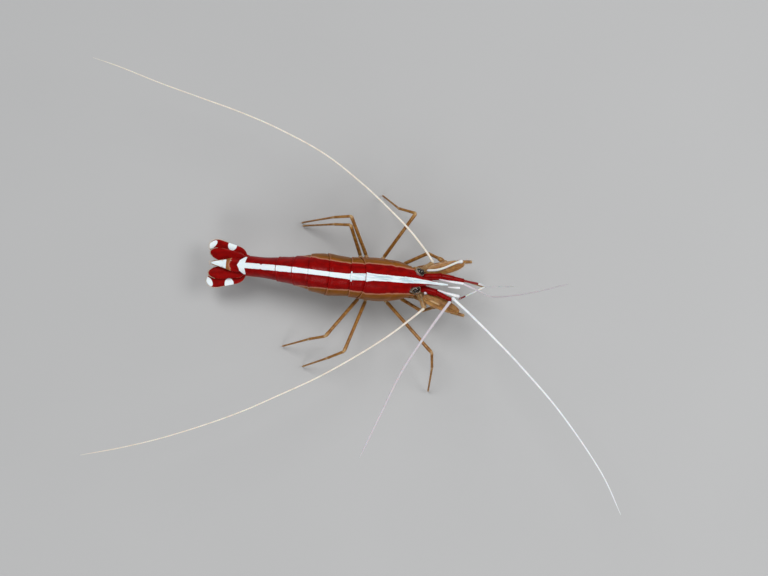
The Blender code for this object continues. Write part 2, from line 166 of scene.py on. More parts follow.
def at_shares(path: Array, shares: Array) -> Array:
    """The points of a path at shares of its length."""
    return np.stack([np.interp(shares, share_along(path), axis) for axis in path.T], axis=1)


def route_through(points: list[Point] | tuple[Point, ...], count: int) -> Array:
    """Points spaced evenly along the Catmull-Rom curve through a few given ones.

    Args:
        points: The given points, in order.
        count: How many points come back.

    Returns:
        A count by 3 array.
    """
    p = np.asarray(points, float)
    p = np.vstack([2 * p[0] - p[1], p, 2 * p[-1] - p[-2]])
    spans = len(p) - 3
    t = np.linspace(0, spans, 40 * spans + 1)
    k = np.minimum(t.astype(int), spans - 1)
    u = (t - k)[:, None]
    a, b, c, d = p[k], p[k + 1], p[k + 2], p[k + 3]
    fine = 0.5 * (2 * b + (c - a) * u + (2 * a - 5 * b + 4 * c - d) * u**2 + (3 * b - a - 3 * c + d) * u**3)
    return at_shares(fine, np.linspace(0, 1, count))


def read_table(rows: tuple[Point, ...], x: Array) -> Array:
    """Reads a table at x by cubic Hermite curves through its rows, with central-difference slopes.

    Args:
        rows: Rising x, and the values there.
        x: Where the curves are read.

    Returns:
        One array, in the shape of x, for each column of values.
    """
    knots, *columns = np.array(rows, float).T
    x = np.clip(x, knots[0], knots[-1])
    k = np.clip(np.searchsorted(knots, x) - 1, 0, len(knots) - 2)
    h = knots[k + 1] - knots[k]
    u = (x - knots[k]) / h
    weight, leave, reach = 3 * u**2 - 2 * u**3, (u**3 - 2 * u**2 + u) * h, (u**3 - u**2) * h
    pairs = [(v, np.gradient(v, knots)) for v in columns]
    return np.array([
        (1 - weight) * v[k] + weight * v[k + 1] + leave * s[k] + reach * s[k + 1] for v, s in pairs
    ])


def round_ends(share: Array, start: float, end: float) -> Array:
    """A factor that falls to 0.02 along a quarter ellipse over the first share, start, and the last, end."""
    first, last = (1 - np.clip(s / max(size, 1e-6), 0, 1) for s, size in ((share, start), (1 - share, end)))
    return np.sqrt(np.clip((1 - first**2) * (1 - last**2), 4e-4, 1))


def tube(path: Array, radius: Array | float, sides: int = 12, flat: float = 1.0) -> Array:
    """Rings round a path: path + radius (cos a · first + flat · sin a · second) for a round the circle. First
    is the axis that lies least along the path, made square to it, and second is the path crossed with it.

    Args:
        path: The middle line, m by 3.
        radius: Radius at each point.
        sides: Points in a ring.
        flat: Share of the radius along second.

    Returns:
        An m by sides by 3 grid.
    """
    ahead = unit(np.gradient(path, axis=0))
    axis = np.eye(3)[int(np.argmin(np.abs(ahead).max(axis=0)))]
    first = unit(axis - (ahead @ axis)[:, None] * ahead)
    a = circle(sides)[None, :, None]
    radius = np.broadcast_to(np.asarray(radius, float), len(path))[:, None, None]
    second = np.cross(ahead, first)[:, None] * flat
    return path[:, None] + radius * (first[:, None] * np.cos(a) + second * np.sin(a))


# ------------------------------------------------------------------------------------- finishes


class Tree:
    """A short way to write one material's nodes. Sizes are in millimetres, and colours are linear."""

    def __init__(self, name: str) -> None:
        """Makes the material with its Principled shader.

        Args:
            name: The material's name.
        """
        self.material = bpy.data.materials.new(name)
        self.material.use_nodes = True
        self.nodes, self.links = self.material.node_tree.nodes, self.material.node_tree.links
        self.place = self.nodes.new("ShaderNodeTexCoord").outputs["Object"]

    def put(self, socket: Socket, value: Socket | float | Point) -> None:
        """Links a socket into an input, or sets the input to a constant.

        Args:
            socket: The input.
            value: The socket, or the constant.
        """
        if isinstance(value, Socket):
            self.links.new(value, socket)
        else:
            socket.default_value = (*value, 1.0) if socket.type == "RGBA" else value

    def node(
        self, kind: str, inputs: dict[int | str, Socket | float | Point], **settings: str
    ) -> bpy.types.Node:
        """Makes a node.

        Args:
            kind: Its kind, after ShaderNode.
            inputs: What goes into its inputs, by number or name.
            settings: Its settings.

        Returns:
            The node.
        """
        made = self.nodes.new("ShaderNode" + kind)
        for name, value in settings.items():
            setattr(made, name, value)
        for key, value in inputs.items():
            self.put(made.inputs[key], value)
        return made

    def math(self, operation: str, *values: Socket | float) -> Socket:
        """The result of one Math node on the values."""
        return self.node("Math", dict(enumerate(values)), operation=operation).outputs[0]

    def times(self, first: Socket | float, second: Socket | float) -> Socket:
        """The product of two values."""
        return self.math("MULTIPLY", first, second)

    def sum(self, start: Socket | float, *terms: tuple[Socket, float]) -> Socket:
        """Adds to start each term's socket times its factor.

        Args:
            start: What the terms are added to.
            terms: Sockets and factors.

        Returns:
            The sum.
        """
        for socket, factor in terms:
            start = self.math("MULTIPLY_ADD", socket, factor, start)
        return start

    def step(self, value: Socket, low: float, high: float) -> Socket:
        """A smooth step of value from 0 at low to 1 at high."""
        inputs = {"Value": value, "From Min": low, "From Max": high}
        return self.node("MapRange", inputs, interpolation_type="SMOOTHSTEP").outputs[0]

    def mix(self, share: Socket | float, low: Socket | Point, high: Socket | Point) -> Socket:
        """The colour at a share of the way from low to high: the node's inputs 6 and 7 and output 2."""
        return self.node("Mix", {0: share, 6: low, 7: high}, data_type="RGBA").outputs[2]

    def cloud(self, noise: Socket, low: float, high: float, first: Point, second: Point) -> Socket:
        """Clouds of two colours: the first where noise is below low, the second where it is above high."""
        return self.mix(self.step(noise, low, high), first, second)

    def flecks(self, size: float, edge: Point, share: float, under: Socket, over: Point) -> Socket:
        """The colour under, with flecks of a share of over, whose edges lie at these shares of size."""
        return self.mix(self.times(self.step(self.spots(size), *edge), share), under, over)

    def noise(self, size: float, detail: float = 2.0, stretch: float = 1.0) -> Socket:
        """Noise on Object coordinates, with features of about size millimetres, stretched along the body."""
        place = self.node("Mapping", {"Vector": self.place, "Scale": (1 / stretch, 1.0, 1.0)}).outputs[0]
        return self.node("TexNoise", {"Vector": place, "Scale": 1 / (size * MM), "Detail": detail}).outputs[0]

    def spots(self, size: float) -> Socket:
        """Distance to the nearest of scattered points, as a share of size, their spacing in millimetres."""
        return self.node("TexVoronoi", {"Vector": self.place, "Scale": 1 / (size * MM)}).outputs[0]

    def paint(self) -> list[Socket]:
        """The three numbers that the piece's points carry."""
        read = self.node("Attribute", {}, attribute_name="paint")
        return list(self.node("SeparateXYZ", {0: read.outputs["Vector"]}).outputs)

    def mark(self, share: Socket, size: float, under: Socket, over: Point) -> Socket:
        """The colour over where the painted share is high, with an edge that noise of this size breaks up."""
        return self.mix(self.step(self.sum(share, (self.noise(size), 0.3)), 0.5, 0.75), under, over)

    def finish(
        self,
        colour: Socket | Point,
        rough: Socket | float,
        relief: Socket | None = None,
        depth: float = 0.02,
        **constants: float | Point,
    ) -> bpy.types.Material:
        """Joins the results to the shader.

        Args:
            colour: Base colour.
            rough: Roughness.
            relief: Height of the bumps, from 0 to 1, if there are any.
            depth: What one unit of relief is, in millimetres.
            constants: The shader's other inputs, with _ for a space.

        Returns:
            The material.
        """
        shader = self.nodes["Principled BSDF"]
        for name, value in {"Base_Color": colour, "Roughness": rough, **constants}.items():
            self.put(shader.inputs[name.replace("_", " ")], value)
        if relief is not None:
            bumps = self.node("Bump", {"Strength": 1.0, "Distance": depth * MM, "Height": relief})
            self.put(shader.inputs["Normal"], bumps.outputs[0])
        return self.material


@dataclass(frozen=True)
class BandedShell:
    """Shell with a crimson band, a white stripe in it, and clear amber where neither is.

    The piece's paint is the distance inside the crimson and the distance inside the white, both in
    millimetres, and a share from 0 to 1: how grey the white is, and elsewhere how pale the shell's edge is.
    """

    name: str = "banded_shell"
    slot: str = "crimson_shell"
    crimson: Point = (0.270, 0.0012, 0.0008)
    crimson_dark: Point = (0.190, 0.0008, 0.0008)
    crimson_fleck: Point = (0.32, 0.006, 0.003)
    amber: Point = (0.262, 0.082, 0.005)
    olive: Point = (0.182, 0.064, 0.005)
    pale_amber: Point = (0.34, 0.145, 0.022)
    red_dot: Point = (0.25, 0.05, 0.015)
    rim: Point = (0.46, 0.19, 0.115)
    white: Point = (0.80, 0.88, 0.91)
    grey: Point = (0.40, 0.54, 0.60)

    def build(self) -> bpy.types.Material:
        """Builds the nodes: noise breaks up each colour and wavers each edge.

        Returns:
            The material.
        """
        t = Tree(self.name)
        red, white, third = t.paint()
        waver, fine = (t.math("SUBTRACT", t.noise(size), 0.5) for size in (1.4, 0.3))
        inside = t.sum(red, (waver, 0.3), (fine, 0.08))
        flank = t.cloud(t.noise(1.6, 3, 2.5), 0.36, 0.64, self.amber, self.olive)
        flank = t.mix(t.times(t.step(inside, -1.2, -5.0), 0.7), flank, self.pale_amber)
        dots = t.times(t.step(t.spots(0.34), 0.24, 0.12), t.step(t.noise(0.9, 1), 0.42, 0.6))
        flank = t.mix(t.times(dots, 0.45), flank, self.red_dot)
        flank = t.mix(t.step(inside, -0.34, -0.06), flank, self.rim)
        band = t.cloud(t.noise(0.8, 3, 2.0), 0.34, 0.66, self.crimson_dark, self.crimson)
        band = t.flecks(0.16, (0.3, 0.1), 0.2, band, self.crimson_fleck)
        colour = t.mix(t.step(inside, -0.06, 0.08), flank, band)
        colour = t.mix(t.times(third, t.step(inside, 0.3, -0.1)), colour, self.rim)
        stripe = t.mix(t.times(third, t.step(t.noise(0.35, 2, 7.0), 0.3, 0.7)), self.white, self.grey)
        colour = t.mix(t.step(t.sum(white, (waver, 0.16), (fine, 0.07)), -0.03, 0.04), colour, stripe)
        pits = t.sum(t.noise(0.7), (t.spots(0.09), 0.4))
        return t.finish(
            colour, t.sum(0.24, (t.noise(1.1), 0.16)), pits, 0.007,
            Specular_IOR_Level=0.06, Coat_Weight=0.03, Coat_Roughness=0.12,
            Subsurface_Weight=0.08, Subsurface_Scale=0.0006, Subsurface_Radius=(1.0, 0.35, 0.15),
        )


@dataclass(frozen=True)
class AmberLimb:
    """Clear amber shell of the legs, with paler joints.

    The piece's paint is the white's share, the crimson's share and the joints' share, from 0 to 1.
    """

    name: str = "amber_limb"
    slot: str = "amber_flesh"
    amber: Point = (0.40, 0.195, 0.042)
    deep: Point = (0.26, 0.105, 0.018)
    dot: Point = (0.34, 0.05, 0.01)
    joint: Point = (0.60, 0.40, 0.20)
    white: Point = (0.82, 0.84, 0.82)
    crimson: Point = (0.24, 0.006, 0.006)

    def build(self) -> bpy.types.Material:
        """Builds the nodes: streaks of deeper amber, and paint for joints and marks.

        Returns:
            The material.
        """
        t = Tree(self.name)
        white, red, joint = t.paint()
        shade = t.cloud(t.noise(0.8, 3), 0.36, 0.64, self.amber, self.deep)
        shade = t.flecks(0.28, (0.28, 0.12), 0.4, shade, self.dot)
        shade = t.mix(t.times(joint, 0.75), shade, self.joint)
        shade = t.mark(white, 0.3, t.mark(red, 0.4, shade, self.crimson), self.white)
        return t.finish(
            shade, t.sum(0.22, (t.noise(0.6), 0.2)), t.noise(0.18, 3), 0.012,
            Subsurface_Weight=0.25, Subsurface_Scale=0.0006, Subsurface_Radius=(1.0, 0.45, 0.15),
            Transmission_Weight=0.18, IOR=1.36, Coat_Weight=0.12, Coat_Roughness=0.15,
        )


@dataclass(frozen=True)
class WhiteFeeler:
    """Opaque white of the feelers, greyer in the grooves between their rings.

    The piece's paint is the crimson's share, the groove's share and how lilac the white is, from 0 to 1.
    """

    name: str = "white_feeler"
    white: Point = (0.88, 0.90, 0.92)
    groove: Point = (0.50, 0.53, 0.56)
    lilac: Point = (0.62, 0.50, 0.56)
    crimson: Point = (0.26, 0.01, 0.01)
    slot: str = "white_feeler"

    def build(self) -> bpy.types.Material:
        """Builds the nodes: ring grooves, and paint for the crimson and lilac lengths.

        Returns:
            The material.
        """
        t = Tree(self.name)
        red, groove, lilac = t.paint()
        white = t.mix(t.times(t.step(t.noise(1.5), 0.4, 0.7), 0.3), self.white, self.groove)
        shade = t.mix(t.times(groove, 0.6), t.mix(lilac, white, self.lilac), self.groove)
        shade = t.mark(red, 0.5, shade, self.crimson)
        rough = t.sum(0.3, (t.noise(0.7), 0.2))
        return t.finish(shade, rough, t.noise(0.12), 0.006, Subsurface_Weight=0.1, Subsurface_Scale=0.0004)


@dataclass(frozen=True)
class SoftFlesh:
    """Wet flesh of the underside, the eyestalks and the blades: one pale tone, one warm tone and specks.

    The piece's paint is the pale tone's share, the pink's share and the dark's share, from 0 to 1.
    """

    name: str
    base: Point
    pale: Point
    clearness: float = 0.12
    slot: str = "amber_flesh"
    speck: Point = (0.35, 0.09, 0.04)
    pink: Point = (0.60, 0.32, 0.36)
    dark: Point = (0.05, 0.03, 0.02)

    def build(self) -> bpy.types.Material:
        """Builds the nodes: cloudy tones, fine specks and paint.

        Returns:
            The material.
        """
        t = Tree(self.name)
        light, pink, dark = t.paint()
        shade = t.mix(light, t.cloud(t.noise(0.9, 3), 0.35, 0.7, self.base, self.pale), self.pale)
        shade = t.flecks(0.25, (0.25, 0.1), 0.4, shade, self.speck)
        shade = t.mix(dark, t.mix(pink, shade, self.pink), self.dark)
        return t.finish(
            shade, t.sum(0.22, (t.noise(0.5), 0.25)), t.noise(0.2, 3), 0.015,
            Subsurface_Weight=0.3, Subsurface_Scale=0.0008, Subsurface_Radius=(1.0, 0.5, 0.3),
            Transmission_Weight=self.clearness, IOR=1.34, Coat_Weight=0.1, Coat_Roughness=0.15,
        )


@dataclass(frozen=True)
class EyeGlass:
    """Clear outer layer of the eye."""

    name: str = "eye_glass"
    slot: str = "dark_eye"
    tones: tuple[Point, Point] = ((0.97, 0.95, 0.92), (0.88, 0.87, 0.86))

    def build(self) -> bpy.types.Material:
        """Builds the nodes: a faint cloud in clear glass, with fine facets as relief.

        Returns:
            The material.
        """
        t = Tree(self.name)
        shade = t.cloud(t.noise(0.5), 0.3, 0.7, *self.tones)
        return t.finish(shade, 0.03, t.spots(0.07), 0.001, Transmission_Weight=1.0, IOR=1.08, Coat_Weight=0.2)


@dataclass(frozen=True)
class EyeCore:
    """Black middle of the eye with a brown glint in its facets."""

    name: str = "eye_core"
    slot: str = "dark_eye"
    tones: tuple[Point, Point] = ((0.004, 0.004, 0.006), (0.03, 0.018, 0.012))

    def build(self) -> bpy.types.Material:
        """Builds the nodes: facets in near black and dark brown."""
        t = Tree(self.name)
        return t.finish(t.cloud(t.spots(0.06), 0.2, 0.6, *self.tones), 0.25, t.spots(0.06), 0.004)


@dataclass(frozen=True)
class Floor:
    """Plain pale floor with the faintest cloud in it."""

    name: str = "pale_floor"
    tones: tuple[Point, Point] = ((0.4462,) * 3, (0.4738,) * 3)

    def build(self) -> bpy.types.Material:
        """Builds the nodes."""
        t = Tree(self.name)
        return t.finish(t.mix(t.noise(60), *self.tones), 0.9)


class Finish(Enum):
    """Every finish of the animal."""

    SHELL = BandedShell()
    LIMB = AmberLimb()
    FEELER = WhiteFeeler()
    CREAM = WhiteFeeler("cream_feeler", (0.86, 0.80, 0.70), (0.52, 0.43, 0.32))
    BRISTLE = SoftFlesh("pale_bristle", (0.62, 0.46, 0.30), (0.80, 0.70, 0.58), 0.3)
    FLESH = SoftFlesh("amber_flesh", (0.36, 0.17, 0.06), (0.56, 0.36, 0.20))
    STALK = SoftFlesh("eyestalk_flesh", (0.30, 0.11, 0.06), (0.58, 0.48, 0.36))
    BASE = SoftFlesh("feeler_base_flesh", (0.32, 0.155, 0.045), (0.46, 0.29, 0.13))
    VEIL = SoftFlesh("eye_veil", (0.24, 0.17, 0.115), (0.48, 0.39, 0.30), 0.35, "dark_eye")
    GLASS = EyeGlass()
    CORE = EyeCore()

    @cached_property
    def material(self) -> bpy.types.Material:
        """The finish's material, built when it is first asked for."""
        return self.value.build()


# ------------------------------------------------------------------------------------- skins


class Form(Enum):
    """How a grid of rings closes."""

    SOLID = "round each ring, with a middle point at both ends"
    SHEET = "open on all sides"
    LOOP = "round each ring, and from the last ring to the first"


class Skin:
    """Gathers grids and thorns for one piece, and turns them into one mesh object."""

    def __init__(self, name: str, node: str, *finishes: Finish, wall: float = 0.0) -> None:
        """Starts an empty skin.

        Args:
            name: The piece's name.
            node: The node that it stands for, if there is one.
            finishes: Its finishes, by slot number.
            wall: Thickness that an open sheet is given inwards, in millimetres.
        """
        self.name, self.node, self.finishes, self.wall = name, node, finishes, wall
        self.points: list[Array] = []
        self.paints: list[Array] = []
        self.faces: list[tuple[Array, int]] = []
        self.count = 0

    def keep(self, points: Array, paint: Array | Point, slot: int, *faces: Array) -> None:
        """Keeps points, their paint, and the faces between them with their finish's number.

        Args:
            points: k by 3.
            paint: Three numbers for all of them or for each.
            slot: The number of the faces' finish.
            faces: Arrays of faces, by their points' numbers.
        """
        self.points.append(points)
        self.paints.append(np.broadcast_to(np.asarray(paint, float), points.shape))
        self.faces += [(some + self.count, slot) for some in faces]
        self.count += len(points)

    def add(
        self, grid: Array, paint: Array | Point = (0, 0, 0), slot: int = 0, form: Form = Form.SOLID
    ) -> None:
        """Adds a grid of rings. The sign of a closed one's volume tells which way its faces are turned.

        Args:
            grid: m rings of n points.
            paint: Three numbers for each point, for the materials to read.
            slot: The number of the finish that it takes.
            form: How it closes.
        """
        m, n = grid.shape[:2]
        points = grid.reshape(-1, 3)
        paint = np.broadcast_to(np.asarray(paint, float), grid.shape).reshape(-1, 3)
        i = np.arange(m if form is Form.LOOP else m - 1)[:, None]
        j = np.arange(n - 1 if form is Form.SHEET else n)[None]
        after_i, after_j = (i + 1) % m * n, (j + 1) % n
        quads = join(i * n + j, i * n + after_j, after_i + after_j, after_i + j).reshape(-1, 4)
        tris = np.zeros((0, 3), int)
        if form is Form.SOLID:
            ring, last = np.arange(n), (m - 1) * n
            after = (ring + 1) % n
            tris = np.concatenate([join(m * n, after, ring), join(m * n + 1, last + ring, last + after)])
            points = np.concatenate([points, [grid[0].mean(0), grid[-1].mean(0)]])
            paint = np.concatenate([paint, [paint[:n].mean(0), paint[-n:].mean(0)]])
        if form is not Form.SHEET:
            halves = np.concatenate([quads[:, :3], quads[:, [0, 2, 3]], tris])
            p, q, r = (points[halves[:, k]] for k in range(3))
            if np.einsum("ij,ij->i", p, np.cross(q, r)).sum() < 0:
                quads, tris = quads[:, ::-1], tris[:, ::-1]
        self.keep(points, paint, slot, quads, tris)

    def thorns(
        self,
        bases: Array,
        directions: Array | Point,
        lengths: Array | Point | float,
        radius: float,
        slot: int = 0,
        sides: int = 4,
        curl: Point = (0, 0, 0),
        paint: Point = (0, 0, 0),
    ) -> None:
        """Adds thin cones for spines and bristles: a ring at the base, one at 0.55 of the length that is
        moved by a quarter of curl, and a point moved by the whole of it.

        Args:
            bases: Where they stand, k by 3.
            directions: Where they point.
            lengths: How long they are.
            radius: Radius at the base.
            slot: The number of the finish that they take.
            sides: Points in a ring.
            curl: How far the tip is moved aside.
            paint: Their paint.
        """
        bases, curl = np.atleast_2d(np.asarray(bases, float)), np.asarray(curl, float)
        ahead = unit(np.broadcast_to(np.asarray(directions, float), bases.shape))
        lengths = np.broadcast_to(np.asarray(lengths, float), len(bases))[:, None]
        first = unit(np.cross(ahead, np.eye(3)[np.argmin(np.abs(ahead), axis=1)]))
        a = circle(sides)[None, :, None]
        ring = first[:, None] * np.cos(a) + np.cross(ahead, first)[:, None] * np.sin(a)
        mid = (bases + ahead * lengths * 0.55 + curl * 0.25)[:, None] + 0.62 * radius * ring
        tip = (bases + ahead * lengths + curl)[:, None]
        points = np.concatenate([bases[:, None] + radius * ring, mid, tip, bases[:, None]], axis=1)
        low = np.arange(len(bases))[:, None] * (2 * sides + 2)
        i, j, high = low + np.arange(sides), low + (np.arange(sides) + 1) % sides, low + 2 * sides
        tris = [join(sides + i, sides + j, high), join(j, i, high + 1)]
        tris = np.concatenate([some.reshape(-1, 3) for some in tris])
        self.keep(points.reshape(-1, 3), paint, slot, join(i, j, sides + j, sides + i).reshape(-1, 4), tris)

    def fringe(
        self, bases: Array, directions: Array | Point, lengths: Array | float, radius: float = 0.022
    ) -> None:
        """Adds three-sided bristles in the second finish."""
        self.thorns(bases, directions, lengths, radius, slot=1, sides=3)

    def build(self) -> bpy.types.Object:
        """Makes the piece, sets it on the root body and hides the imported part that it stands for.

        Returns:
            The object.
        """
        mesh = bpy.data.meshes.new(self.name)
        points = np.concatenate(self.points)
        faces = sorted((some for some in self.faces if len(some[0])), key=lambda some: -some[0].shape[1])
        sizes = np.concatenate([np.full(len(f), f.shape[1]) for f, _ in faces]).astype(np.int32)
        slots = np.concatenate([np.full(len(f), slot) for f, slot in faces]).astype(np.int32)
        mesh.vertices.add(len(points))
        mesh.loops.add(int(sizes.sum()))
        mesh.polygons.add(len(sizes))
        fills = (
            (mesh.vertices, "co", (DATUM + points * MM).astype(np.float32).ravel()),
            (mesh.loops, "vertex_index", np.concatenate([f.ravel() for f, _ in faces]).astype(np.int32)),
            (mesh.polygons, "loop_start", (np.cumsum(sizes) - sizes).astype(np.int32)),
            (mesh.polygons, "material_index", slots),
        )
        for rows, name, values in fills:
            rows.foreach_set(name, values)
        mesh.update(calc_edges=True)
        mesh.validate()
        paint = mesh.attributes.new("paint", "FLOAT_VECTOR", "POINT")
        paint.data.foreach_set("vector", np.concatenate(self.paints).astype(np.float32).ravel())
        mesh.shade_smooth()
        mesh.set_sharp_from_angle(angle=SHARP)
        for finish in self.finishes:
            mesh.materials.append(finish.material)
        piece = bpy.data.objects.new(self.name, mesh)
        bpy.context.scene.collection.objects.link(piece)
        if self.wall:
            solid = piece.modifiers.new("wall", "SOLIDIFY")
            solid.thickness, solid.offset = self.wall * MM, -1.0
        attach(piece, "root")
        if self.node:
            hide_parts(self.node)
        return piece


# ------------------------------------------------------------------------------------- body


@dataclass(frozen=True)
class BodyForm:
    """The body's outer surface by place along the back line and turn round it."""

    # For each x, the height of the back, the half width and the depth from back to lower edge.
    stations: tuple[Point, ...] = (
        (-24.5, 9.9, 1.9, 3.1), (-22.5, 10.6, 1.95, 3.5), (-19.2, 12.0, 2.00, 4.5), (-15.8, 13.4, 2.40, 5.8),
        (-12.3, 14.7, 2.95, 7.2), (-8.8, 15.6, 3.75, 8.5), (-4.4, 16.0, 4.30, 9.1), (0.0, 15.9, 4.10, 8.9),
        (3.1, 15.8, 4.35, 9.2), (6.1, 15.6, 4.45, 9.3), (8.2, 15.4, 4.25, 8.9), (10.2, 15.1, 3.90, 7.9),
        (12.75, 14.6, 3.10, 6.4),
    )
    turn: float = math.radians(128)
    # For each x, half width and middle of the crimson band, and half width and middle of its white stripe.
    bands: tuple[Point, ...] = (
        (-24.5, 1.90, 0.05, 0.47, 0.03), (-20.0, 2.00, 0.10, 0.52, 0.10), (-16.7, 2.50, 0.12, 0.53, 0.12),
        (-12.3, 2.85, 0.12, 0.54, 0.13), (-10.3, 2.90, 0.08, 0.49, 0.11), (-5.3, 2.83, -0.03, 0.47, -0.01),
        (-3.6, 2.80, -0.05, 0.45, -0.09), (-0.5, 2.68, -0.08, 0.54, -0.14), (-0.1, 2.68, -0.08, 0.64, -0.12),
        (3.0, 2.85, -0.06, 0.68, 0.08), (3.2, 2.95, -0.06, 0.86, 0.10), (4.8, 3.00, -0.02, 0.68, 0.21),
        (8.1, 2.78, 0.15, 0.60, 0.25), (11.5, 2.36, 0.08, 0.57, 0.26), (13.5, 2.15, 0.08, 0.47, 0.22),
    )
    # How far the left flank is drawn in, and the places between which it goes in and comes out again.
    drawn_in: float = 0.36
    drawn_span: Point = (-8.5, -3.0, 7.0, 11.5)
    # How much further from the middle the band counts a millimetre of depth below the widest line.
    below_share: float = 0.9
    # The arrow head's middle and half width, and its edges: place on the back, run forward for each
    # millimetre out, and the cosine of that slope.
    arrow: tuple[float, float] = (0.03, 1.62)
    arrow_hind: Point = (-24.07, 0.58, 0.86)
    arrow_front: Point = (-22.63, 0.33, 0.95)
    # Depth, place and width of the stripe's notch and of the dark line in it.
    notches: tuple[Point, Point] = ((0.10, -19.0, 0.25), (0.14, -18.95, 0.05))
    # The bright tick's middle and its half lengths along the body and across it.
    tick_middle: tuple[float, float] = (0.06, -0.06)
    tick_half: tuple[float, float] = (0.11, 0.92)

    def at(self, x: Array) -> tuple[Array, Array, Array, Array]:
        """Height of the back, half width, depth and the back line's lean at each x."""
        rise = read_table(self.stations, x + 0.2)[0] - read_table(self.stations, x - 0.2)[0]
        return *read_table(self.stations, x), np.arctan2(rise, 0.4)

    def sweep(self, turn: Array) -> Array:
        """How far down the flank a turn is: its 1 - cos, as a share of the whole turn's."""
        return (1 - np.cos(turn)) / (1 - math.cos(self.turn))

    def point(self, x: Array, turn: Array, lift: Array | float = 0.0) -> Array:
        """The surface: from the back line at x, across by (half + lift) sin turn and down, square to the back
        line, by depth · sweep - lift cos turn. The left flank is drawn in a little beside the thorax.

        Args:
            x: Place along the back line.
            turn: Turn round the body from its top, in radians.
            lift: How far outside the surface.

        Returns:
            The points, with one more axis than x.
        """
        top, half, depth, lean = self.at(x)
        hind, start, end, fore = self.drawn_span
        drawn = self.drawn_in * step(hind, start, x) * (1 - step(end, fore, x))
        drawn = drawn * np.clip(np.sin(turn), 0, None) ** 2
        down = depth * self.sweep(turn) - lift * np.cos(turn)
        return join(x + down * np.sin(lean), (half + lift) * np.sin(turn) - drawn, top - down * np.cos(lean))

    def marks(self, x: Array, turn: Array) -> tuple[Array, Array]:
        """How far inside the crimson band and the white marks each place is. The band's distance from the
        middle goes on growing with depth below the widest line. The arrow head at the tail's root lies
        between two lines that run forward as they run out.

        Args:
            x: Place along the back line.
            turn: Turn round the body.

        Returns:
            Both distances in millimetres, below 0 outside.
        """
        seen, beside = np.moveaxis(self.point(x, turn), -1, 0)[:2]
        _, wide, depth, _ = self.at(x)
        below = depth * np.clip(-np.cos(turn), 0, None) / (1 - math.cos(self.turn))
        lateral = wide * np.where(below > 0, 1.0, np.abs(np.sin(turn))) + self.below_share * below
        knots, *columns = np.array(self.bands).T
        half, middle, white_half, white_middle = (np.interp(seen, knots, column) for column in columns)
        red = half - np.abs(np.sign(turn) * lateral - middle)
        out = np.abs(beside - self.arrow[0])
        (hind, hind_run, hind_cosine), (front, front_run, front_cosine) = self.arrow_hind, self.arrow_front
        behind = hind_cosine * (seen - hind - hind_run * out)
        arrow = np.minimum(front_cosine * (front + front_run * out - seen), self.arrow[1] - out)
        stripe = white_half - np.abs(beside - white_middle)
        for notch in self.notches:
            stripe = stripe - bell(seen, notch)
        (tick_x, tick_y), (long, wide) = self.tick_middle, self.tick_half
        tick = np.minimum(long - np.abs(seen - tick_x), wide - np.abs(beside - tick_y))
        return red, np.maximum(np.minimum(behind, np.maximum(stripe, arrow)), tick)


BODY = BodyForm()
SHADOW_LINE = 2.5  # What is taken from the white's distance along a painted shadow line at a shell's hind edge, so that no white is left there.


@dataclass(frozen=True)
class AbdomenShell:
    """One shell of the abdomen: it rides over the next one behind and tucks under the one in front."""

    number: int
    front: tuple[float, float]
    back: tuple[float, float]
    lobe: float
    rise: float = 0.11
    # Whether the hind edge gets a painted shadow line across the stripe, for the shade where this shell steps
    # down onto the next.
    shadow_edge: bool = False
    nose: float = 0.0
    # How far the front edge goes on under the next shell, and how far it is sunk there.
    tuck: float = 0.85
    sunk: float = 0.21
    wall: float = 0.2
    rows: int = 90
    columns: int = 121

    def skin(self) -> Skin:
        """The shell as a sheet over x and turn. Each edge sweeps from its place on the back to its place at
        the flank's lower edge, and the lower edge is rounded by lobe · |2u - 1|^3.2.

        Returns:
            The skin.
        """
        u, v = end_spaced(self.rows)[:, None], np.linspace(-1, 1, self.columns)[None]
        turn = v * BODY.turn * (1 - self.lobe * np.abs(2 * u - 1) ** 3.2)
        front, back = (blend(*edge, BODY.sweep(turn)) for edge in (self.front, self.back))
        front, back = front + self.tuck, back - self.nose * bump(turn, 0.0, 0.75)
        x = blend(back, front, u)
        behind = x - back
        lift = self.rise * (1 - step(0.2, 2.2, behind)) - self.sunk * (1 - step(0.4, 1.6, front - x))
        lift = lift + 0.3 * self.rise * (bump(behind, 0.10, 0.10) - bump(behind, 0.40, 0.14))
        red, white = BODY.marks(x, turn)
        third = np.where(white < -0.1, 0.75 * (1 - step(0.0, 0.16, behind)), 0.08 + 0.6 * step(-0.6, 0.4, x))
        # Painted shadow: the white is taken away just before the hind edge, so a thin crimson line crosses
        # the stripe there.
        dark = SHADOW_LINE * self.shadow_edge * (1 - step(0.02, 0.10, behind))
        skin = Skin(f"abdomen_shell_{self.number}", f"abdomen_{self.number}", Finish.SHELL, wall=self.wall)
        skin.add(BODY.point(x, turn, lift), join(red, white - dark, third), form=Form.SHEET)
        return skin


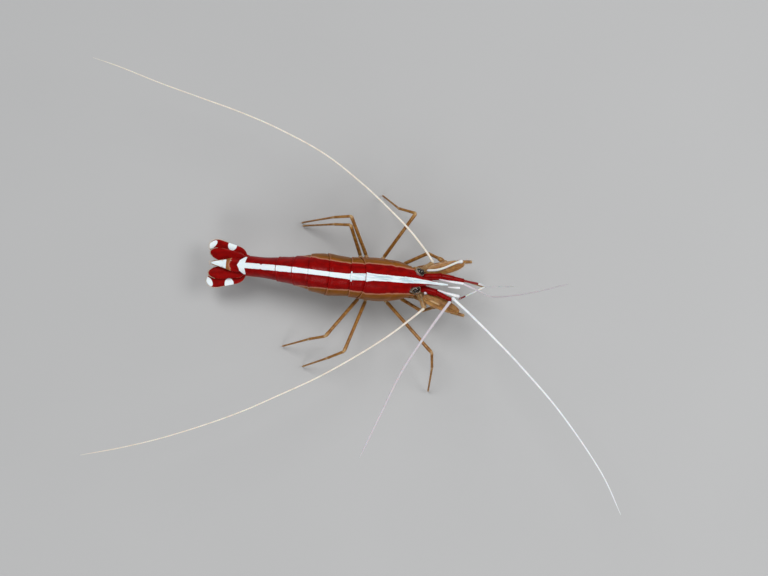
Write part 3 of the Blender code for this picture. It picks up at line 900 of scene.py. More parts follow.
@dataclass(frozen=True)
class Carapace:
    """The shield over head and thorax, with eye notches, cheek spines and the ridge that carries the beak."""

    front: float = 12.75
    back: tuple[float, float] = (3.15, 0.75)
    lift: float = 0.13
    wall: float = 0.16
    # Height, turn and width of what the front edge is given: the right eye's notch, the left eye's lobe and
    # the cheek spines, and how far it falls back on the flank.
    notch: Point = (0.32, -0.60, 0.20)
    lobe: Point = (0.72, 0.56, 0.22)
    spine: Point = (0.80, 0.98, 0.075)
    fall: float = 1.0
    # Height, middle and width of the slanting groove behind the cheek and of the gill cover's line.
    cheek: Point = (0.10, 10.6, 0.45)
    cheek_slant: float = 1.6
    gill: Point = (0.07, 1.28, 0.10)
    rows: int = 92
    columns: int = 241

    def skin(self) -> Skin:
        """The shield as a sheet over x and turn. Its edge rims, grooves and gill cover are bells added to
        lift.
        Its front edge has a notch and a lobe for the eyes, with a spine under each, and falls back towards
        the lower edge. The stripe has clear white edges and ends at a painted shadow line along the hind
        edge.

        Returns:
            The skin.
        """
        u, v = end_spaced(self.rows)[:, None], np.linspace(-1, 1, self.columns)[None]
        turn = v * BODY.turn * (1 - 0.17 * (1 - u) ** 5 - 0.10 * u**6)
        side = np.abs(turn)
        back = blend(*self.back, BODY.sweep(turn))
        front = self.front - bell(turn, self.notch) + bell(turn, self.lobe)
        front = front + bell(side, self.spine) - self.fall * step(1.5, 2.25, side)
        x = blend(back, front, u)
        behind, ahead = x - back, front - x
        groove = bell(x + self.cheek_slant * side, self.cheek)
        groove = groove * step(0.25, 0.7, side) * (1 - step(1.3, 1.7, side))
        gill = bell(side, self.gill) * step(2.5, 4, x) * (1 - step(10.5, 12, x))
        rim = 0.05 * bump(ahead, 0.1, 0.12) + 0.04 * bump(behind, 0.12, 0.12)
        lift = self.lift - groove - gill + rim - 0.12 * step(0.0, 0.5, 0.5 - ahead) * step(0.9, 1.2, side)
        red, white = BODY.marks(x, turn)
        grey = (0.42 + 0.5 * step(3.6, 6.0, x)) * step(0.08, 0.30, white)
        pale = 0.75 * np.maximum(1 - step(0.0, 0.16, behind), 0.8 - step(0.0, 0.14, ahead))
        third = np.where(white < -0.1, np.maximum(pale, 0), grey)
        skin = Skin("carapace_shield", "carapace", Finish.SHELL, wall=self.wall)
        # Painted shadow: no white just before the hind edge, for the shade of the step down onto the first
        # abdominal shell.
        dark = SHADOW_LINE * (1 - step(0.02, 0.10, behind))
        skin.add(BODY.point(x, turn, lift), join(red, white - dark, third), form=Form.SHEET)
        return skin


@dataclass(frozen=True)
class Rostrum:
    """The beak: a keeled blade that tapers forward from the carapace, with teeth above and below."""

    # Place along the body, direction up, length and root's depth of the teeth above and of those below.
    teeth: tuple[tuple[Point, float, float, float], ...] = (
        ((9.7, 11.2, 12.7, 14.2, 15.6, 16.9, 18.1, 19.2), 1.0, 0.62, 0.12),
        ((17.0, 18.2, 19.3), -1.0, 0.45, 0.1),
    )
    # For each x, the top, the bottom, the half width and the stripe's half width.
    stations: tuple[Point, ...] = (
        (8.5, 15.40, 15.00, 0.30), (10.0, 15.38, 14.70, 0.60), (12.0, 15.22, 14.10, 1.20),
        (13.0, 15.14, 13.80, 1.40), (14.0, 15.10, 13.80, 1.22), (15.0, 15.08, 13.95, 0.92),
        (16.0, 15.10, 14.15, 0.66), (17.0, 15.13, 14.35, 0.49), (18.5, 15.15, 14.65, 0.33),
        (20.3, 15.05, 15.00, 0.10),
    )
    stripe: tuple[Point, Point] = ((8.5, 11.5, 13.5, 15.0, 17.0, 20.3), (0.64, 0.64, 0.53, 0.44, 0.32, 0.24))

    # How far left of the body's middle the keel runs at its root, and how much less at its tip.
    beside: tuple[float, float] = (0.33, 0.20)

    def middle(self, x: Array) -> Array:
        """How far left of the body's middle the keel runs at each x."""
        return self.beside[0] - self.beside[1] * step(13.0, 20.0, x)

    def skin(self) -> Skin:
        """The blade as rings: across = half · (sin a)^1.2, up to the keel and down by (cos a)^1.4.

        Returns:
            The skin.
        """
        skin = Skin("rostrum_beak", "rostrum", Finish.SHELL)
        x, angle = np.linspace(self.stations[0][0], self.stations[-1][0], 90)[:, None], circle(40)[None]
        top, bottom, half = read_table(self.stations, x)
        waist = 0.35 * top + 0.65 * bottom
        rise, y = powered(np.cos(angle), 1.4), half * powered(np.sin(angle), 1.2)
        z = waist + np.where(rise > 0, top - waist, waist - bottom) * rise
        stripe = np.interp(x, *self.stripe) - np.abs(y) - 0.9 * step(0.0, -0.3, rise)
        grey = 0.8 * step(0.06, 0.24, stripe) * (1 - step(16.5, 18.5, x))
        skin.add(join(x, y + self.middle(x), z), join(1.0 - 0.9 * step(17.0, 19.0, x), stripe, grey))
        for places, sign, length, deep in self.teeth:
            at = np.array(places)
            top, bottom, _ = read_table(self.stations, at)
            root = join(at, self.middle(at), (top if sign > 0 else bottom) - sign * deep)
            curl = (0.1, 0, -0.04 * sign)
            skin.thorns(root, (0.9, 0, 0.42 * sign), length, 0.10, sides=8, curl=curl, paint=(1, 0.3, 0.1))
        return skin


# ------------------------------------------------------------------------------------- blades


@dataclass(frozen=True)
class Leaf:
    """A blade of rounded outline with a rib along its middle, thin at its edge.

    Half the width is multiplied by sqrt(1 - (1 - t / base)²) before base, and by
    sqrt(1 - ((t - tip) / (1 - tip))²) after tip.
    """

    length: float
    width: float
    thick: float
    root: Point
    along: Point
    across: Point
    base: float = 0.35
    tip: float = 0.5
    rib: float = 0.5
    camber: float = 0.0

    def half(self, t: Array) -> Array:
        """Half width at share t of the length."""
        root, end = 1 - np.minimum(t / self.base, 1), np.maximum((t - self.tip) / (1 - self.tip), 0)
        return self.width / 2 * np.sqrt(np.clip((1 - root**2) * (1 - end**2), 1e-4, 1))

    @cached_property
    def axes(self) -> tuple[Array, Array, Array]:
        """Unit vectors along, across and square to the blade."""
        ahead, normal = unit(self.along), unit(np.cross(unit(self.along), self.across))
        return ahead, np.cross(normal, ahead), normal

    def grid(self, rows: int, columns: int) -> tuple[Array, Array, Array]:
        """The blade as rings that go over its upper face and back along its lower one.

        Args:
            rows: Rings.
            columns: Points over one face.

        Returns:
            The grid, and for each point the share across and the distance from the edge.
        """
        ahead, wide, normal = self.axes
        t = 0.002 + 0.996 * end_spaced(rows)[:, None]
        v = np.sin(np.linspace(-math.pi / 2, math.pi / 2, columns))
        v = np.concatenate([v, v[-2:0:-1]])[None]
        face = np.concatenate([np.ones(columns), -np.ones(columns - 2)])[None]
        half = self.half(t)
        body = self.thick / 2 * (0.28 + 0.72 * np.sqrt(np.clip(1 - v**2, 0, 1))) * (1 - 0.4 * t)
        edge = half * (1 - np.abs(v))
        ridge = self.rib * self.thick * bump(v, 0.0, 0.12) * (1 - t**2) * (face > 0)
        height = face * body * np.clip(edge / 0.12, 0.35, 1) + ridge - self.camber * half * v**2
        place = np.array(self.root) + t[..., None] * self.length * ahead + (half * v)[..., None] * wide
        return place + height[..., None] * normal, v, np.minimum(edge, (1 - t) * self.length)

    def margin(self, count: int, start: float = 0.3) -> tuple[Array, Array]:
        """Places along the edge beyond start on both sides, and the directions in which bristles leave it.

        Args:
            count: Places on each side.
            start: Share of the length where they start.

        Returns:
            The places and the directions.
        """
        ahead, wide, normal = self.axes
        fine = start + (1 - start) * np.sin(np.linspace(0, math.pi / 2, 400))
        edge = at_shares(join(fine * self.length, self.half(fine)), np.linspace(0, 1, count))
        edge, tangent = np.tile(edge, (2, 1)), np.tile(unit(np.gradient(edge, axis=0)), (2, 1))
        side = np.repeat([1.0, -1.0], count)[:, None]
        place = np.array(self.root) + edge[:, :1] * ahead + side * edge[:, 1:] * wide
        place = place - self.camber * edge[:, 1:] * normal
        return place, unit((0.4 - tangent[:, 1:]) * ahead + side * tangent[:, :1] * wide)


@dataclass(frozen=True)
class TailBlade:
    """One of the four side blades of the tail fan."""

    name: str
    side: Side
    root: Point
    out: float
    length: float
    width: float
    thick: float
    base: float
    tip: float
    # The middle, long axis in degrees and both half lengths of each white spot.
    spots: tuple[Point, ...] = ()
    dip: float = math.radians(15)

    def skin(self) -> Skin:
        """The blade, its root joint and its fringe of bristles. Each white spot is an ellipse: 1 minus the
        length of (along its long axis / a, across it / b), times b.

        Returns:
            The skin.
        """
        s, turn = self.side.value, math.radians(self.out)
        back, dip = -math.cos(turn), self.dip
        along = np.array((back * math.cos(dip), s * math.sin(turn), back * math.sin(dip)))
        root = np.array((self.root[0], s * self.root[1], self.root[2]))
        across = (0.0, s * math.cos(turn), 0.12)
        leaf = Leaf(self.length, self.width, self.thick, root, along, across, self.base, self.tip, 0.35)
        grid, _, away = leaf.grid(72, 33)
        white = np.full(away.shape, -1.0)
        for x, y, degrees, a, b in self.spots:
            c, w = math.cos(math.radians(degrees)), math.sin(math.radians(degrees))
            dx, dy = grid[..., 0] - x, s * grid[..., 1] - y
            white = np.maximum(white, (1 - np.hypot((dx * c + dy * w) / a, (dy * c - dx * w) / b)) * b)
        red = 0.32 - (0.6 if self.spots else 0.3) * (1 - step(0.0, 0.08, away))
        node = f"{self.name}_{self.side.word}"
        skin = Skin(f"tail_{node}", node, Finish.SHELL, Finish.BRISTLE)
        skin.add(grid, join(red, white, 0.0))
        t = end_spaced(16)
        radius = (0.36 * self.width / 3.5 + 0.28) * round_ends(t, 0.35, 0.35)
        skin.add(tube(line(root - 0.9 * along, root + 0.9 * along, t), radius, 16, 0.62), (0.4, -1, 0))
        edge, leave = leaf.margin(110, 0.45 if self.spots else 0.82)
        lengths = np.tile(0.16 + 0.22 * step(0.2, 0.9, np.linspace(0, 1, 110)), 2)
        skin.fringe(edge, leave, lengths * (1.0 if self.spots else 0.7))
        return skin


@dataclass(frozen=True)
class Telson:
    """The tail's middle plate: crimson root, clear amber across its middle, and a white wedge to its tip."""

    root: float = -22.3
    height: float = 10.15
    length: float = 7.7
    dip: float = math.radians(15)
    # Where the white wedge starts, its half width there, and how much it narrows in each millimetre.
    wedge: Point = (-26.55, 0.97, 0.245)
    # Where the crimson ends on the middle, and how much further forward that is for each millimetre out.
    crimson: tuple[float, float] = (-25.95, 0.35)
    # Share of the length and distance out of the spines on its back.
    spines: tuple[tuple[float, float], ...] = ((0.42, 0.8), (0.66, 0.62))
    # Thickness at the root, and how much thinner the tip is.
    thick: tuple[float, float] = (1.15, 0.75)
    # Half width at each share of the length.
    widths: tuple[Point, ...] = (
        (0.0, 1.3), (0.12, 1.42), (0.38, 1.45), (0.6, 1.0), (0.85, 0.62), (1.0, 0.34),
    )

    def skin(self) -> Skin:
        """The plate as rings: a domed top with a shallow trough along it, over a flat underside. It has two
        pairs of short spines on its back, and long bristles round its tip.

        Returns:
            The skin.
        """
        t, angle = (0.001 + 0.998 * end_spaced(64))[:, None], circle(40)[None]
        (half,), up = read_table(self.widths, t), np.cos(angle)
        thick, ends = self.thick[0] - self.thick[1] * t, round_ends(t, 0.03, 0.05)
        across = half * powered(np.sin(angle), 0.8) * ends
        trough = 0.10 * bump(across / half, 0.0, 0.3) * step(0.15, 0.35, t) * (up > 0)
        rise = thick * (0.62 * np.where(up > 0, up, 0.35 * up) * ends - trough) - 0.55 * thick
        x = self.root - self.length * math.cos(self.dip) * t + rise * math.sin(self.dip) * 0.3
        z = self.height - self.length * math.sin(self.dip) * t + rise
        out = np.abs(across)
        start, wide, narrow = self.wedge
        white = np.minimum(start - x, wide - narrow * (start - x) - out) - 1.5 * (up < -0.1)
        skin = Skin("tail_telson", "telson", Finish.SHELL, Finish.BRISTLE)
        skin.add(join(x, across, z), join(x - self.crimson[0] - self.crimson[1] * out, white, 0.25))
        for share, out in self.spines:
            x, z = self.root - self.length * 0.966 * share, self.height - 2 * share + 0.02
            skin.thorns(join(x, np.array((out, -out)), z), (-1, 0, 0.1), 0.4, 0.05, 1, 5)
        fan = np.linspace(-1, 1, 13)
        bases = join(self.root - self.length * 0.962, 0.28 * fan, self.height - 2.4)
        skin.thorns(bases, join(-1, 0.5 * fan, -0.2), 0.9 - 0.35 * np.abs(fan), 0.035, 1, 4)
        return skin


@dataclass(frozen=True)
class Swimmeret:
    """A swimmeret: a short stalk with two fringed blades that lean back."""

    number: int
    side: Side
    x: float
    length: float
    # How far out each blade turns, its share of the length and of the body's half width, and its place.
    blades: tuple[Point, Point] = ((0.34, 0.68, 0.40, 1), (-0.16, 0.62, 0.32, -1))
    lean: float = math.radians(35)
    thick: float = 0.34

    def skin(self) -> Skin:
        """The stalk, as a tube that swells before its end, and both blades under the shell's belly.

        Returns:
            The skin.
        """
        s, word = self.side.value, f"{self.number}_{self.side.word}"
        top, half, depth, _ = (float(value) for value in BODY.at(np.array(self.x)))
        down = np.array((-math.sin(self.lean), 0.0, -math.cos(self.lean)))
        root = np.array((self.x, s * 0.33 * half, top - depth + min(1.1, 0.25 * depth) - 0.1))
        skin = Skin(f"paddle_{word}", f"swimmeret_{word}", Finish.FLESH, Finish.BRISTLE)
        t = end_spaced(18)
        radius = self.thick * round_ends(t, 0.2, 0.3) * (1 + 0.2 * bump(t, 0.8, 0.2))
        skin.add(tube(root + np.outer(t * 0.4 * self.length, down), radius, 14), (0.2, 0.1, 0.0))
        for out, share, wide, place in self.blades:
            start = root + down * 0.36 * self.length + (0, 0.12 * s * place, 0)
            along, across = (down[0] + 0.05 * (1 - place), out * s, down[2]), (0.0, 1.0, out)
            leaf = Leaf(share * self.length, wide * half, 0.2, start, along, across, camber=0.15)
            grid, _, away = leaf.grid(26, 9)
            skin.add(grid, join(step(0.4, 0.0, away), 0.1, 0.0))
            skin.fringe(*leaf.margin(24), 0.42, 0.024)
        return skin


# ------------------------------------------------------------------------------------- underside


@dataclass(frozen=True)
class Underside:
    """The flesh under the shells: belly, thorax floor with its leg sockets, head block and mouth."""

    joints: Point = (0.0, -4.4, -8.8, -12.35, -15.8)
    hips: Point = (1.8, 3.5, 5.3, 7.1, 8.9)
    # Rows of x, half width, bottom and top.
    floor: tuple[Point, ...] = (
        (0.9, 1.2, 5.6, 7.2), (3.0, 1.6, 4.9, 7.2), (8.5, 1.6, 4.9, 7.2), (10.4, 1.3, 5.4, 7.2),
    )
    inner: tuple[Point, ...] = (
        (2.6, 2.9, 7.0, 15.2), (6.0, 3.6, 6.9, 15.0), (10.0, 3.1, 7.4, 14.5), (12.6, 2.1, 8.4, 13.9),
    )
    brow: tuple[Point, ...] = (
        (12.3, 1.9, 8.4, 13.6), (13.4, 1.6, 8.6, 12.6), (14.2, 1.45, 8.8, 11.9), (15.0, 0.9, 9.4, 11.2),
    )
    jaw: tuple[Point, ...] = (
        (10.7, 0.8, 6.6, 7.9), (12.2, 1.0, 6.5, 8.2), (13.7, 0.75, 7.0, 8.4), (14.5, 0.4, 7.5, 8.4),
    )
    # X, distance out, height and radius of the jointed mouth limbs, and x, length and height of the leaves.
    palps: tuple[Point, ...] = ((11.6, 1.15, 7.5, 0.34), (12.5, 0.95, 7.8, 0.30), (13.2, 0.70, 8.2, 0.26))
    leaves: tuple[Point, ...] = ((10.9, 2.6, 6.5), (11.6, 2.7, 6.2), (12.4, 2.5, 6.1), (13.2, 1.9, 6.4))

    def belly(self) -> Skin:
        """The abdomen's flesh: rings inside the shells, closed below by a rounded belly that swells at each
        segment's middle and is pinched at its joints.

        Returns:
            The skin.
        """
        share = np.linspace(0, 1, 150)[:, None]
        x, angle = -22.4 + 24.6 * share, circle(48)[None] - math.pi
        top, half, depth, lean = BODY.at(x)
        pinch = sum(bump(x, joint - 0.9, 0.35) for joint in self.joints)
        across = (half - 0.5 - 0.12 * pinch) * np.sin(angle) * (1 - 0.14 * np.clip(-np.cos(angle), 0, 1))
        low, high = 0.87 - 0.045 * pinch, 0.42 / depth
        ends = round_ends(share, 0.02, 0.03)
        down = depth * ((low + high) / 2 - (low - high) / 2 * np.cos(angle) * ends)
        grid = join(x + down * np.sin(lean), across * ends, top - down * np.cos(lean))
        skin = Skin("abdomen_flesh", "", Finish.FLESH)
        skin.add(grid, join(0.5 * pinch, 0, 0 * angle))
        return skin

    def block(
        self, rows: tuple[Point, ...], count: int, sides: int, power: float, folds: Array | float = 0.0
    ) -> Array:
        """Rings of a rounded box: half width, bottom and top by x, with sin and cos taken to power.

        Args:
            rows: Rows of x, half width, bottom and top.
            count: How many rings.
            sides: Points in a ring.
            power: 1 is an ellipse and less is squarer.
            folds: Widening at each of the rings.

        Returns:
            The grid.
        """
        share, angle = np.linspace(0, 1, count), circle(sides)[None]
        x = blend(rows[0][0], rows[-1][0], share)
        half, low, high = read_table(rows, x)
        columns = half + folds, (low + high) / 2, (high - low) / 2, round_ends(share, 0.06, 0.06)
        half, middle, rise, ends = (column[:, None] for column in columns)
        across, up = powered(np.cos(angle), power) * ends, powered(np.sin(angle), power) * ends
        return join(x[:, None], half * across, middle + rise * up)

    def thorax(self) -> Skin:
        """The thorax floor with a socket swelling for each pair of legs, and the body above it.

        Returns:
            The skin.
        """
        x = np.linspace(0.9, 10.4, 90)
        swell = sum(bump(x, hip, 0.45) for hip in self.hips)
        skin = Skin("thorax_floor", "thorax", Finish.FLESH)
        skin.add(self.block(self.floor, 90, 28, 0.7, 0.22 * swell), join(0.6 * swell, 0, 0)[:, None])
        skin.add(self.block(self.inner, 40, 36, 0.85))
        return skin

    def head(self) -> Skin:
        """The block between the eyes and the feelers' roots, with a fold for each pair of roots.

        Returns:
            The skin.
        """
        skin = Skin("head_block", "head_front", Finish.FLESH)
        folds = 0.15 * np.sin(np.linspace(0, 5 * math.pi, 48)) ** 2
        skin.add(self.block(self.brow, 48, 32, 0.8, folds), (0.3, 0.1, 0.0))
        return skin

    def mouth(self) -> Skin:
        """The mouth: a core, and pairs of leaf-shaped mouth limbs laid over one another below it.

        Returns:
            The skin.
        """
        skin = Skin("mouth_limbs", "mouthparts", Finish.FLESH, Finish.BRISTLE)
        skin.add(self.block(self.jaw, 36, 24, 0.9), (0.2, 0.1, 0.0))
        t = end_spaced(28)
        for s in (1, -1):
            for x, out, low, thick in self.palps:
                knee, tip = (x + 1.5, (out + 0.25) * s, low - 0.35), (x + 2.3, 0.5 * out * s, low - 1.1)
                path = route_through([(x, out * s, low), knee, tip], 28)
                radius = thick * (1 - 0.45 * t) * (1 + 0.06 * np.sin(16 * t)) * round_ends(t, 0.12, 0.12)
                skin.add(tube(path, radius, 16), (0.35, 0.15, 0.0))
                skin.fringe(path[14:27], (0.6, 0.5 * s, -0.7), 0.35)
        for rank, (x, length, drop) in enumerate(self.leaves):
            for s in (1, -1):
                along, across = (0.86, 0.34 * s, 0.12 - 0.05 * rank), (-0.3, 0.9 * s, -0.35)
                leaf = Leaf(length, 0.85 - 0.08 * rank, 0.16, (x, 0.35 * s, drop), along, across, camber=0.25)
                skin.add(leaf.grid(20, 9)[0], (0.3, 0.2, 0.0))
                skin.fringe(*leaf.margin(14), 0.3, 0.025)
        return skin


# ------------------------------------------------------------------------------------- head


@dataclass(frozen=True)
class Eye:
    """An eye on its stalk: a clear globe round a black core, in a pale cup with a milky ring for its lip."""

    side: Side
    core: Point
    shift: Point
    core_shift: Point
    radius: float = 0.98
    gap: float = 0.05
    # The stalk's root, how far out it is on each side, its radius there and how much thicker it becomes.
    root: Point = (12.9, 0.3, 12.35)
    root_out: float = 0.6
    stalk: tuple[float, float] = (0.34, 0.16)

    def skins(self) -> Iterator[Skin]:
        """The stalk, globe, core and ring. Stalk and cup are rings along the line from head to eye, whose
        radius follows the globe outside by gap up to the cup's lip.

        Yields:
            The four skins.
        """
        word, s = self.side.word, self.side.value
        middle = EYES[self.side] + np.array(self.shift)
        root = np.array(self.root) + (0, self.root_out * s, 0)
        ahead, reach = unit(middle - root), float(np.linalg.norm(middle - root))
        along = np.linspace(0, reach - 0.10, 46)
        cup = np.sqrt(np.clip((self.radius + self.gap) ** 2 - (along - reach) ** 2, 0, None))
        cup = cup * step(-self.radius * 1.05, -self.radius * 0.75, along - reach)
        ends = round_ends(along / along[-1], 0.05, 0.0)
        radius = np.maximum(self.stalk[0] + self.stalk[1] * step(0, reach, along), cup) * ends
        # The cup turns in at its lip and goes back along its inside.
        lip = along[::-1][:8]
        inner = tube(root + lip[:, None] * ahead, radius[::-1][:8] - self.gap, 32)
        grid = np.concatenate([tube(root + along[:, None] * ahead, radius, 32), inner])
        pale = step(-1.0, -0.2, np.concatenate([along, lip]) - reach)[:, None]
        medial = step(0.1, 0.7, -s * (grid[..., 1] - middle[1])) * step(-0.2, 0.5, grid[..., 2] - middle[2])
        skin = Skin(f"eye_stalk_{word}", f"eyestalk_{word}", Finish.STALK)
        skin.add(grid, join(pale, medial, 0.0))
        yield skin
        skin = Skin(f"eye_globe_{word}", f"eye_{word}", Finish.GLASS)
        skin.add(self.ball(middle, (self.radius,) * 3, 40))
        yield skin
        skin = Skin(f"eye_core_{word}", "", Finish.CORE)
        skin.add(self.ball(middle + self.core_shift, self.core, 32))
        yield skin
        skin = Skin(f"eye_ring_{word}", "", Finish.VEIL)
        p, b = circle(24)[:, None], circle(64)[None]
        skin.add(self.ring(middle, ahead, p, b), join(0.5 + 0.5 * np.sin(14 * b), 0, 0 * p), form=Form.LOOP)
        yield skin

    def ball(self, middle: Array, radii: Point, rows: int) -> Array:
        """An ellipsoid as rings along Z: radius · sin a · (cos b, sin b) across and radius · cos a up."""
        a, b = np.linspace(0.03, math.pi - 0.03, rows)[:, None], circle(2 * rows)[None]
        return middle + np.array(radii) * join(np.sin(a) * np.cos(b), np.sin(a) * np.sin(b), np.cos(a))

    def ring(self, middle: Array, axis: Array, p: Array, b: Array) -> Array:
        """The ring on the cup's lip: polar angle 93° + 4.5° cos p, a little uneven with b, and radius
        r (1.03 + 0.03 sin p), turned by b about the line of the stalk.

        Args:
            middle: The globe's middle.
            axis: Direction of the stalk.
            p: Angle round the ring's section.
            b: Angle along the ring.

        Returns:
            The grid.
        """
        first = unit(np.cross(axis, (0.0, 0.0, 1.0)))
        polar = np.radians(93 + (4.5 + 0.6 * np.sin(5 * b) + 0.4 * np.sin(9 * b + 1)) * np.cos(p))[..., None]
        radius = (self.radius * (1.03 + 0.03 * np.sin(p)))[..., None]
        out = first * np.cos(b)[..., None] + np.cross(axis, first) * np.sin(b)[..., None]
        return middle + radius * (np.cos(polar) * axis + np.sin(polar) * out)


@dataclass(frozen=True)
class Antennule:
    """The three-jointed crimson stem of the inner feelers, with its white inner branches and cheek spine."""

    side: Side
    joints: tuple[Point, ...]
    thick: tuple[Point, ...]
    branches: tuple[tuple[float, float, tuple[Point, ...]], ...]
    # The line of the pale knob on the stem's root, if it has one.
    knob: tuple[Point, ...] = ()

    def skin(self) -> Skin:
        """Each joint as a tube from its first radius to its last, each branch as a tube that widens forward,
        and spines at root and end.

        Returns:
            The skin.
        """
        word = self.side.word
        skin = Skin(f"antennule_stem_{word}", f"antennule_{word}", Finish.SHELL, Finish.FEELER)
        s, p, t = self.side.value, np.array(self.joints), end_spaced(26)
        for a, b, (first, last) in zip(p, p[1:], self.thick):
            more = 0.12 * unit(b - a)
            radius = (blend(first, last, t) + 0.03 * bump(t, 0.93, 0.06)) * round_ends(t, 0.08, 0.06)
            red = 0.5 - 0.25 * (bump(t, 0.0, 0.05) + bump(t, 1.0, 0.04))
            skin.add(tube(line(a - more, b + more, t), radius, 24, 0.85), join(red, -1, 0)[:, None])
        t = end_spaced(64)
        wave = np.sin(2 * math.pi * 9 * t)
        for thick, lilac, points in self.branches:
            radius = thick * (0.60 + 0.40 * step(0.05, 0.75, t)) * (1 + 0.015 * wave)
            radius = radius * round_ends(t, 0.14, 0.05)
            paint = join(0, 0.4 * bump(wave, -1.0, 0.15), lilac * (1 - 0.9 * step(0.25, 0.6, t)))
            skin.add(tube(at_shares(route_through(points, 64), t), radius, 20, 0.8), paint[:, None], 1)
        base = np.array(((p[0][0] - 0.8, s * 0.90 + 0.10, 11.6), (p[0][0] + 0.1, s * 1.40 + 0.10, 12.0)))
        skin.thorns(base, (0.88, 0.38 * s, 0.29), (2.4, 1.2), 0.24, sides=8, paint=(-1, -1, 0))
        if self.knob:
            t = end_spaced(20)
            skin.add(tube(line(*self.knob, t), 0.21 * round_ends(t, 0.45, 0.45), 18), (0, 0.1, 0.8), 1)
        ends = p[-1] + np.array([(0, 0.25 * s, 0.3), (0, -0.25 * s, 0.3)])
        skin.thorns(ends, (0.9, 0, 0.3), 0.4, 0.06, sides=5, paint=(1, -1, 0))
        return skin


@dataclass(frozen=True)
class Feeler:
    """A long ringed feeler along a smooth curve."""

    name: str
    node: str
    points: tuple[Point, ...]
    thick: tuple[float, float] = (0.25, 0.11)
    pitch: float = 0.42
    finish: Finish = Finish.FEELER
    crimson: float = 0.0
    lilac: float = 0.0
    root: float = 0.0
    # Depth of the grooves as a share of the radius, and where each ring's four circles are in it.
    relief: float = 0.05
    phases: Point = (0.0, 0.12, 0.5, 0.85)

    def skin(self) -> Skin:
        """The feeler as a tube whose radius falls along it and dips between its rings: each ring swells
        towards its far end and drops back, as radius · (1 + relief · (phase² - 0.4)).

        Returns:
            The skin.
        """
        coarse = route_through(self.points, 200)
        length = float(np.linalg.norm(np.diff(coarse, axis=0), axis=1).sum())
        rings = int(length / self.pitch)
        s = np.append(((np.arange(rings)[:, None] + self.phases) / rings).ravel(), 1.0)
        phase = np.append(np.tile(self.phases, rings), 0.9)
        path = at_shares(coarse, s)
        radius = blend(*self.thick, s**0.8) * (1 + self.relief * (phase**2 - 0.4))
        radius = radius * (1 - 0.65 * step(0.93, 1.0, s)) * round_ends(s, 0.3 / length, 0.3 / length)
        red = (1 - step(self.crimson - 0.6, self.crimson, s * length)) if self.crimson else 0.0
        groove = 0.5 * bump(phase, 0.03, 0.12) + 0.2 * step(0.6, 1.0, s)
        skin = Skin(self.name, self.node, self.finish)
        skin.add(tube(path, radius, 10), join(red, groove, self.lilac)[:, None])
        if self.root:
            t = end_spaced(14)
            knob = path[0] + np.outer(t * 1.1 - 0.2, unit(path[4] - path[0]))
            skin.add(tube(knob, self.root * round_ends(t, 0.4, 0.5), 18), (0.0, 0.6, 0.3 * self.lilac))
        return skin


@dataclass(frozen=True)
class AntennaRoot:
    """The jointed stem of an antenna, and the scale beside it with its outer rib."""

    side: Side
    stem: tuple[Point, Point, Point]
    rib: tuple[Point, ...]
    scale_root: Point
    scale_turn: float
    # Where the rib is pale, as shares of its length, how white it is there, its knob's radius and its own.
    pale_span: tuple[float, float]
    white: float
    knob: float
    thick: float
    # The radii of the stem's two joints, and the scale's length, width and thickness.
    radii: tuple[tuple[float, float], ...] = ((0.88, 0.80), (0.72, 0.52))
    scale: Point = (8.2, 2.5, 0.24)

    def stem_skin(self) -> Skin:
        """Both joints of the stem, each a tube from its first radius to its last, and a spine.

        Returns:
            The skin.
        """
        skin = Skin(f"antenna_stem_{self.side.word}", f"antenna_base_{self.side.word}", Finish.BASE)
        s, p, t = self.side.value, np.array(self.stem), end_spaced(22)
        for a, b, (first, last) in zip(p, p[1:], self.radii):
            path = line(a - 0.3 * unit(b - a), b + 0.2 * unit(b - a), t)
            radius = blend(first, last, t) * round_ends(t, 0.2, 0.12)
            skin.add(tube(path, radius, 22), join(0.35 + 0.5 * step(0.5, 1.0, t), 0, 0)[:, None])
        skin.thorns(p[1] + (0.1, 0.3 * s, 0.35), (0.9, 0.2 * s, 0.1), 0.9, 0.14, 0, 6)
        return skin

    def scale_skin(self) -> Skin:
        """The scale: a leaf, bristles along its inner edge, and its rib with a knob at the far end.

        Returns:
            The skin.
        """
        s, word, turn = self.side.value, self.side.word, math.radians(self.scale_turn)
        skin = Skin(f"feeler_scale_{word}", f"antennal_scale_{word}", Finish.LIMB, Finish.BRISTLE)
        along, across = (math.cos(turn), math.sin(turn), 0.02), (-math.sin(turn), math.cos(turn), 0.10 * s)
        leaf = Leaf(*self.scale, self.scale_root, along, across, base=0.3, tip=0.45, rib=0.2, camber=0.10)
        grid, v, _ = leaf.grid(44, 19)
        skin.add(grid, join(0, 0, 0.35 * (0.5 + 0.5 * np.sin(v * 14))))
        edge, away = leaf.margin(60)
        keep = (edge[:, 1] - np.interp(edge[:, 0], *np.array(self.rib)[:, :2].T)) * s < -0.4
        skin.fringe(edge[keep], away[keep], 0.5, 0.024)
        t = end_spaced(60)
        radius = self.thick * (1 + 0.08 * np.sin(7 * t)) + (self.knob - self.thick) * step(0.84, 0.97, t)
        radius = radius * round_ends(t, 0.06, 0.06)
        start, end = self.pale_span
        pale = step(start - 0.03, start + 0.03, t) * (1 - step(end - 0.04, end + 0.04, t))
        paint = join(self.white * pale, 0.3 * (1 - pale), 1.3 * (1 - self.white) * pale)[:, None]
        skin.add(tube(at_shares(route_through(self.rib, 60), t), radius, 16), paint)
        return skin


# ------------------------------------------------------------------------------------- limbs


class LimbKind(Enum):
    """How a limb ends and is dressed, with the radii at the start and the end of each joint's tube."""

    WALKING = ((0.55, 0.42), (0.40, 0.37), (0.33, 0.29), (0.25, 0.19))
    CLAW = ((0.55, 0.40), (0.40, 0.38), (0.34, 0.36))
    RINGED_CLAW = ((0.5, 0.36), (0.34, 0.31), (0.29, 0.23), (0.20, 0.17))
    BRUSH = ((0.55, 0.46), (0.46, 0.42), (0.42, 0.42), (0.44, 0.32))


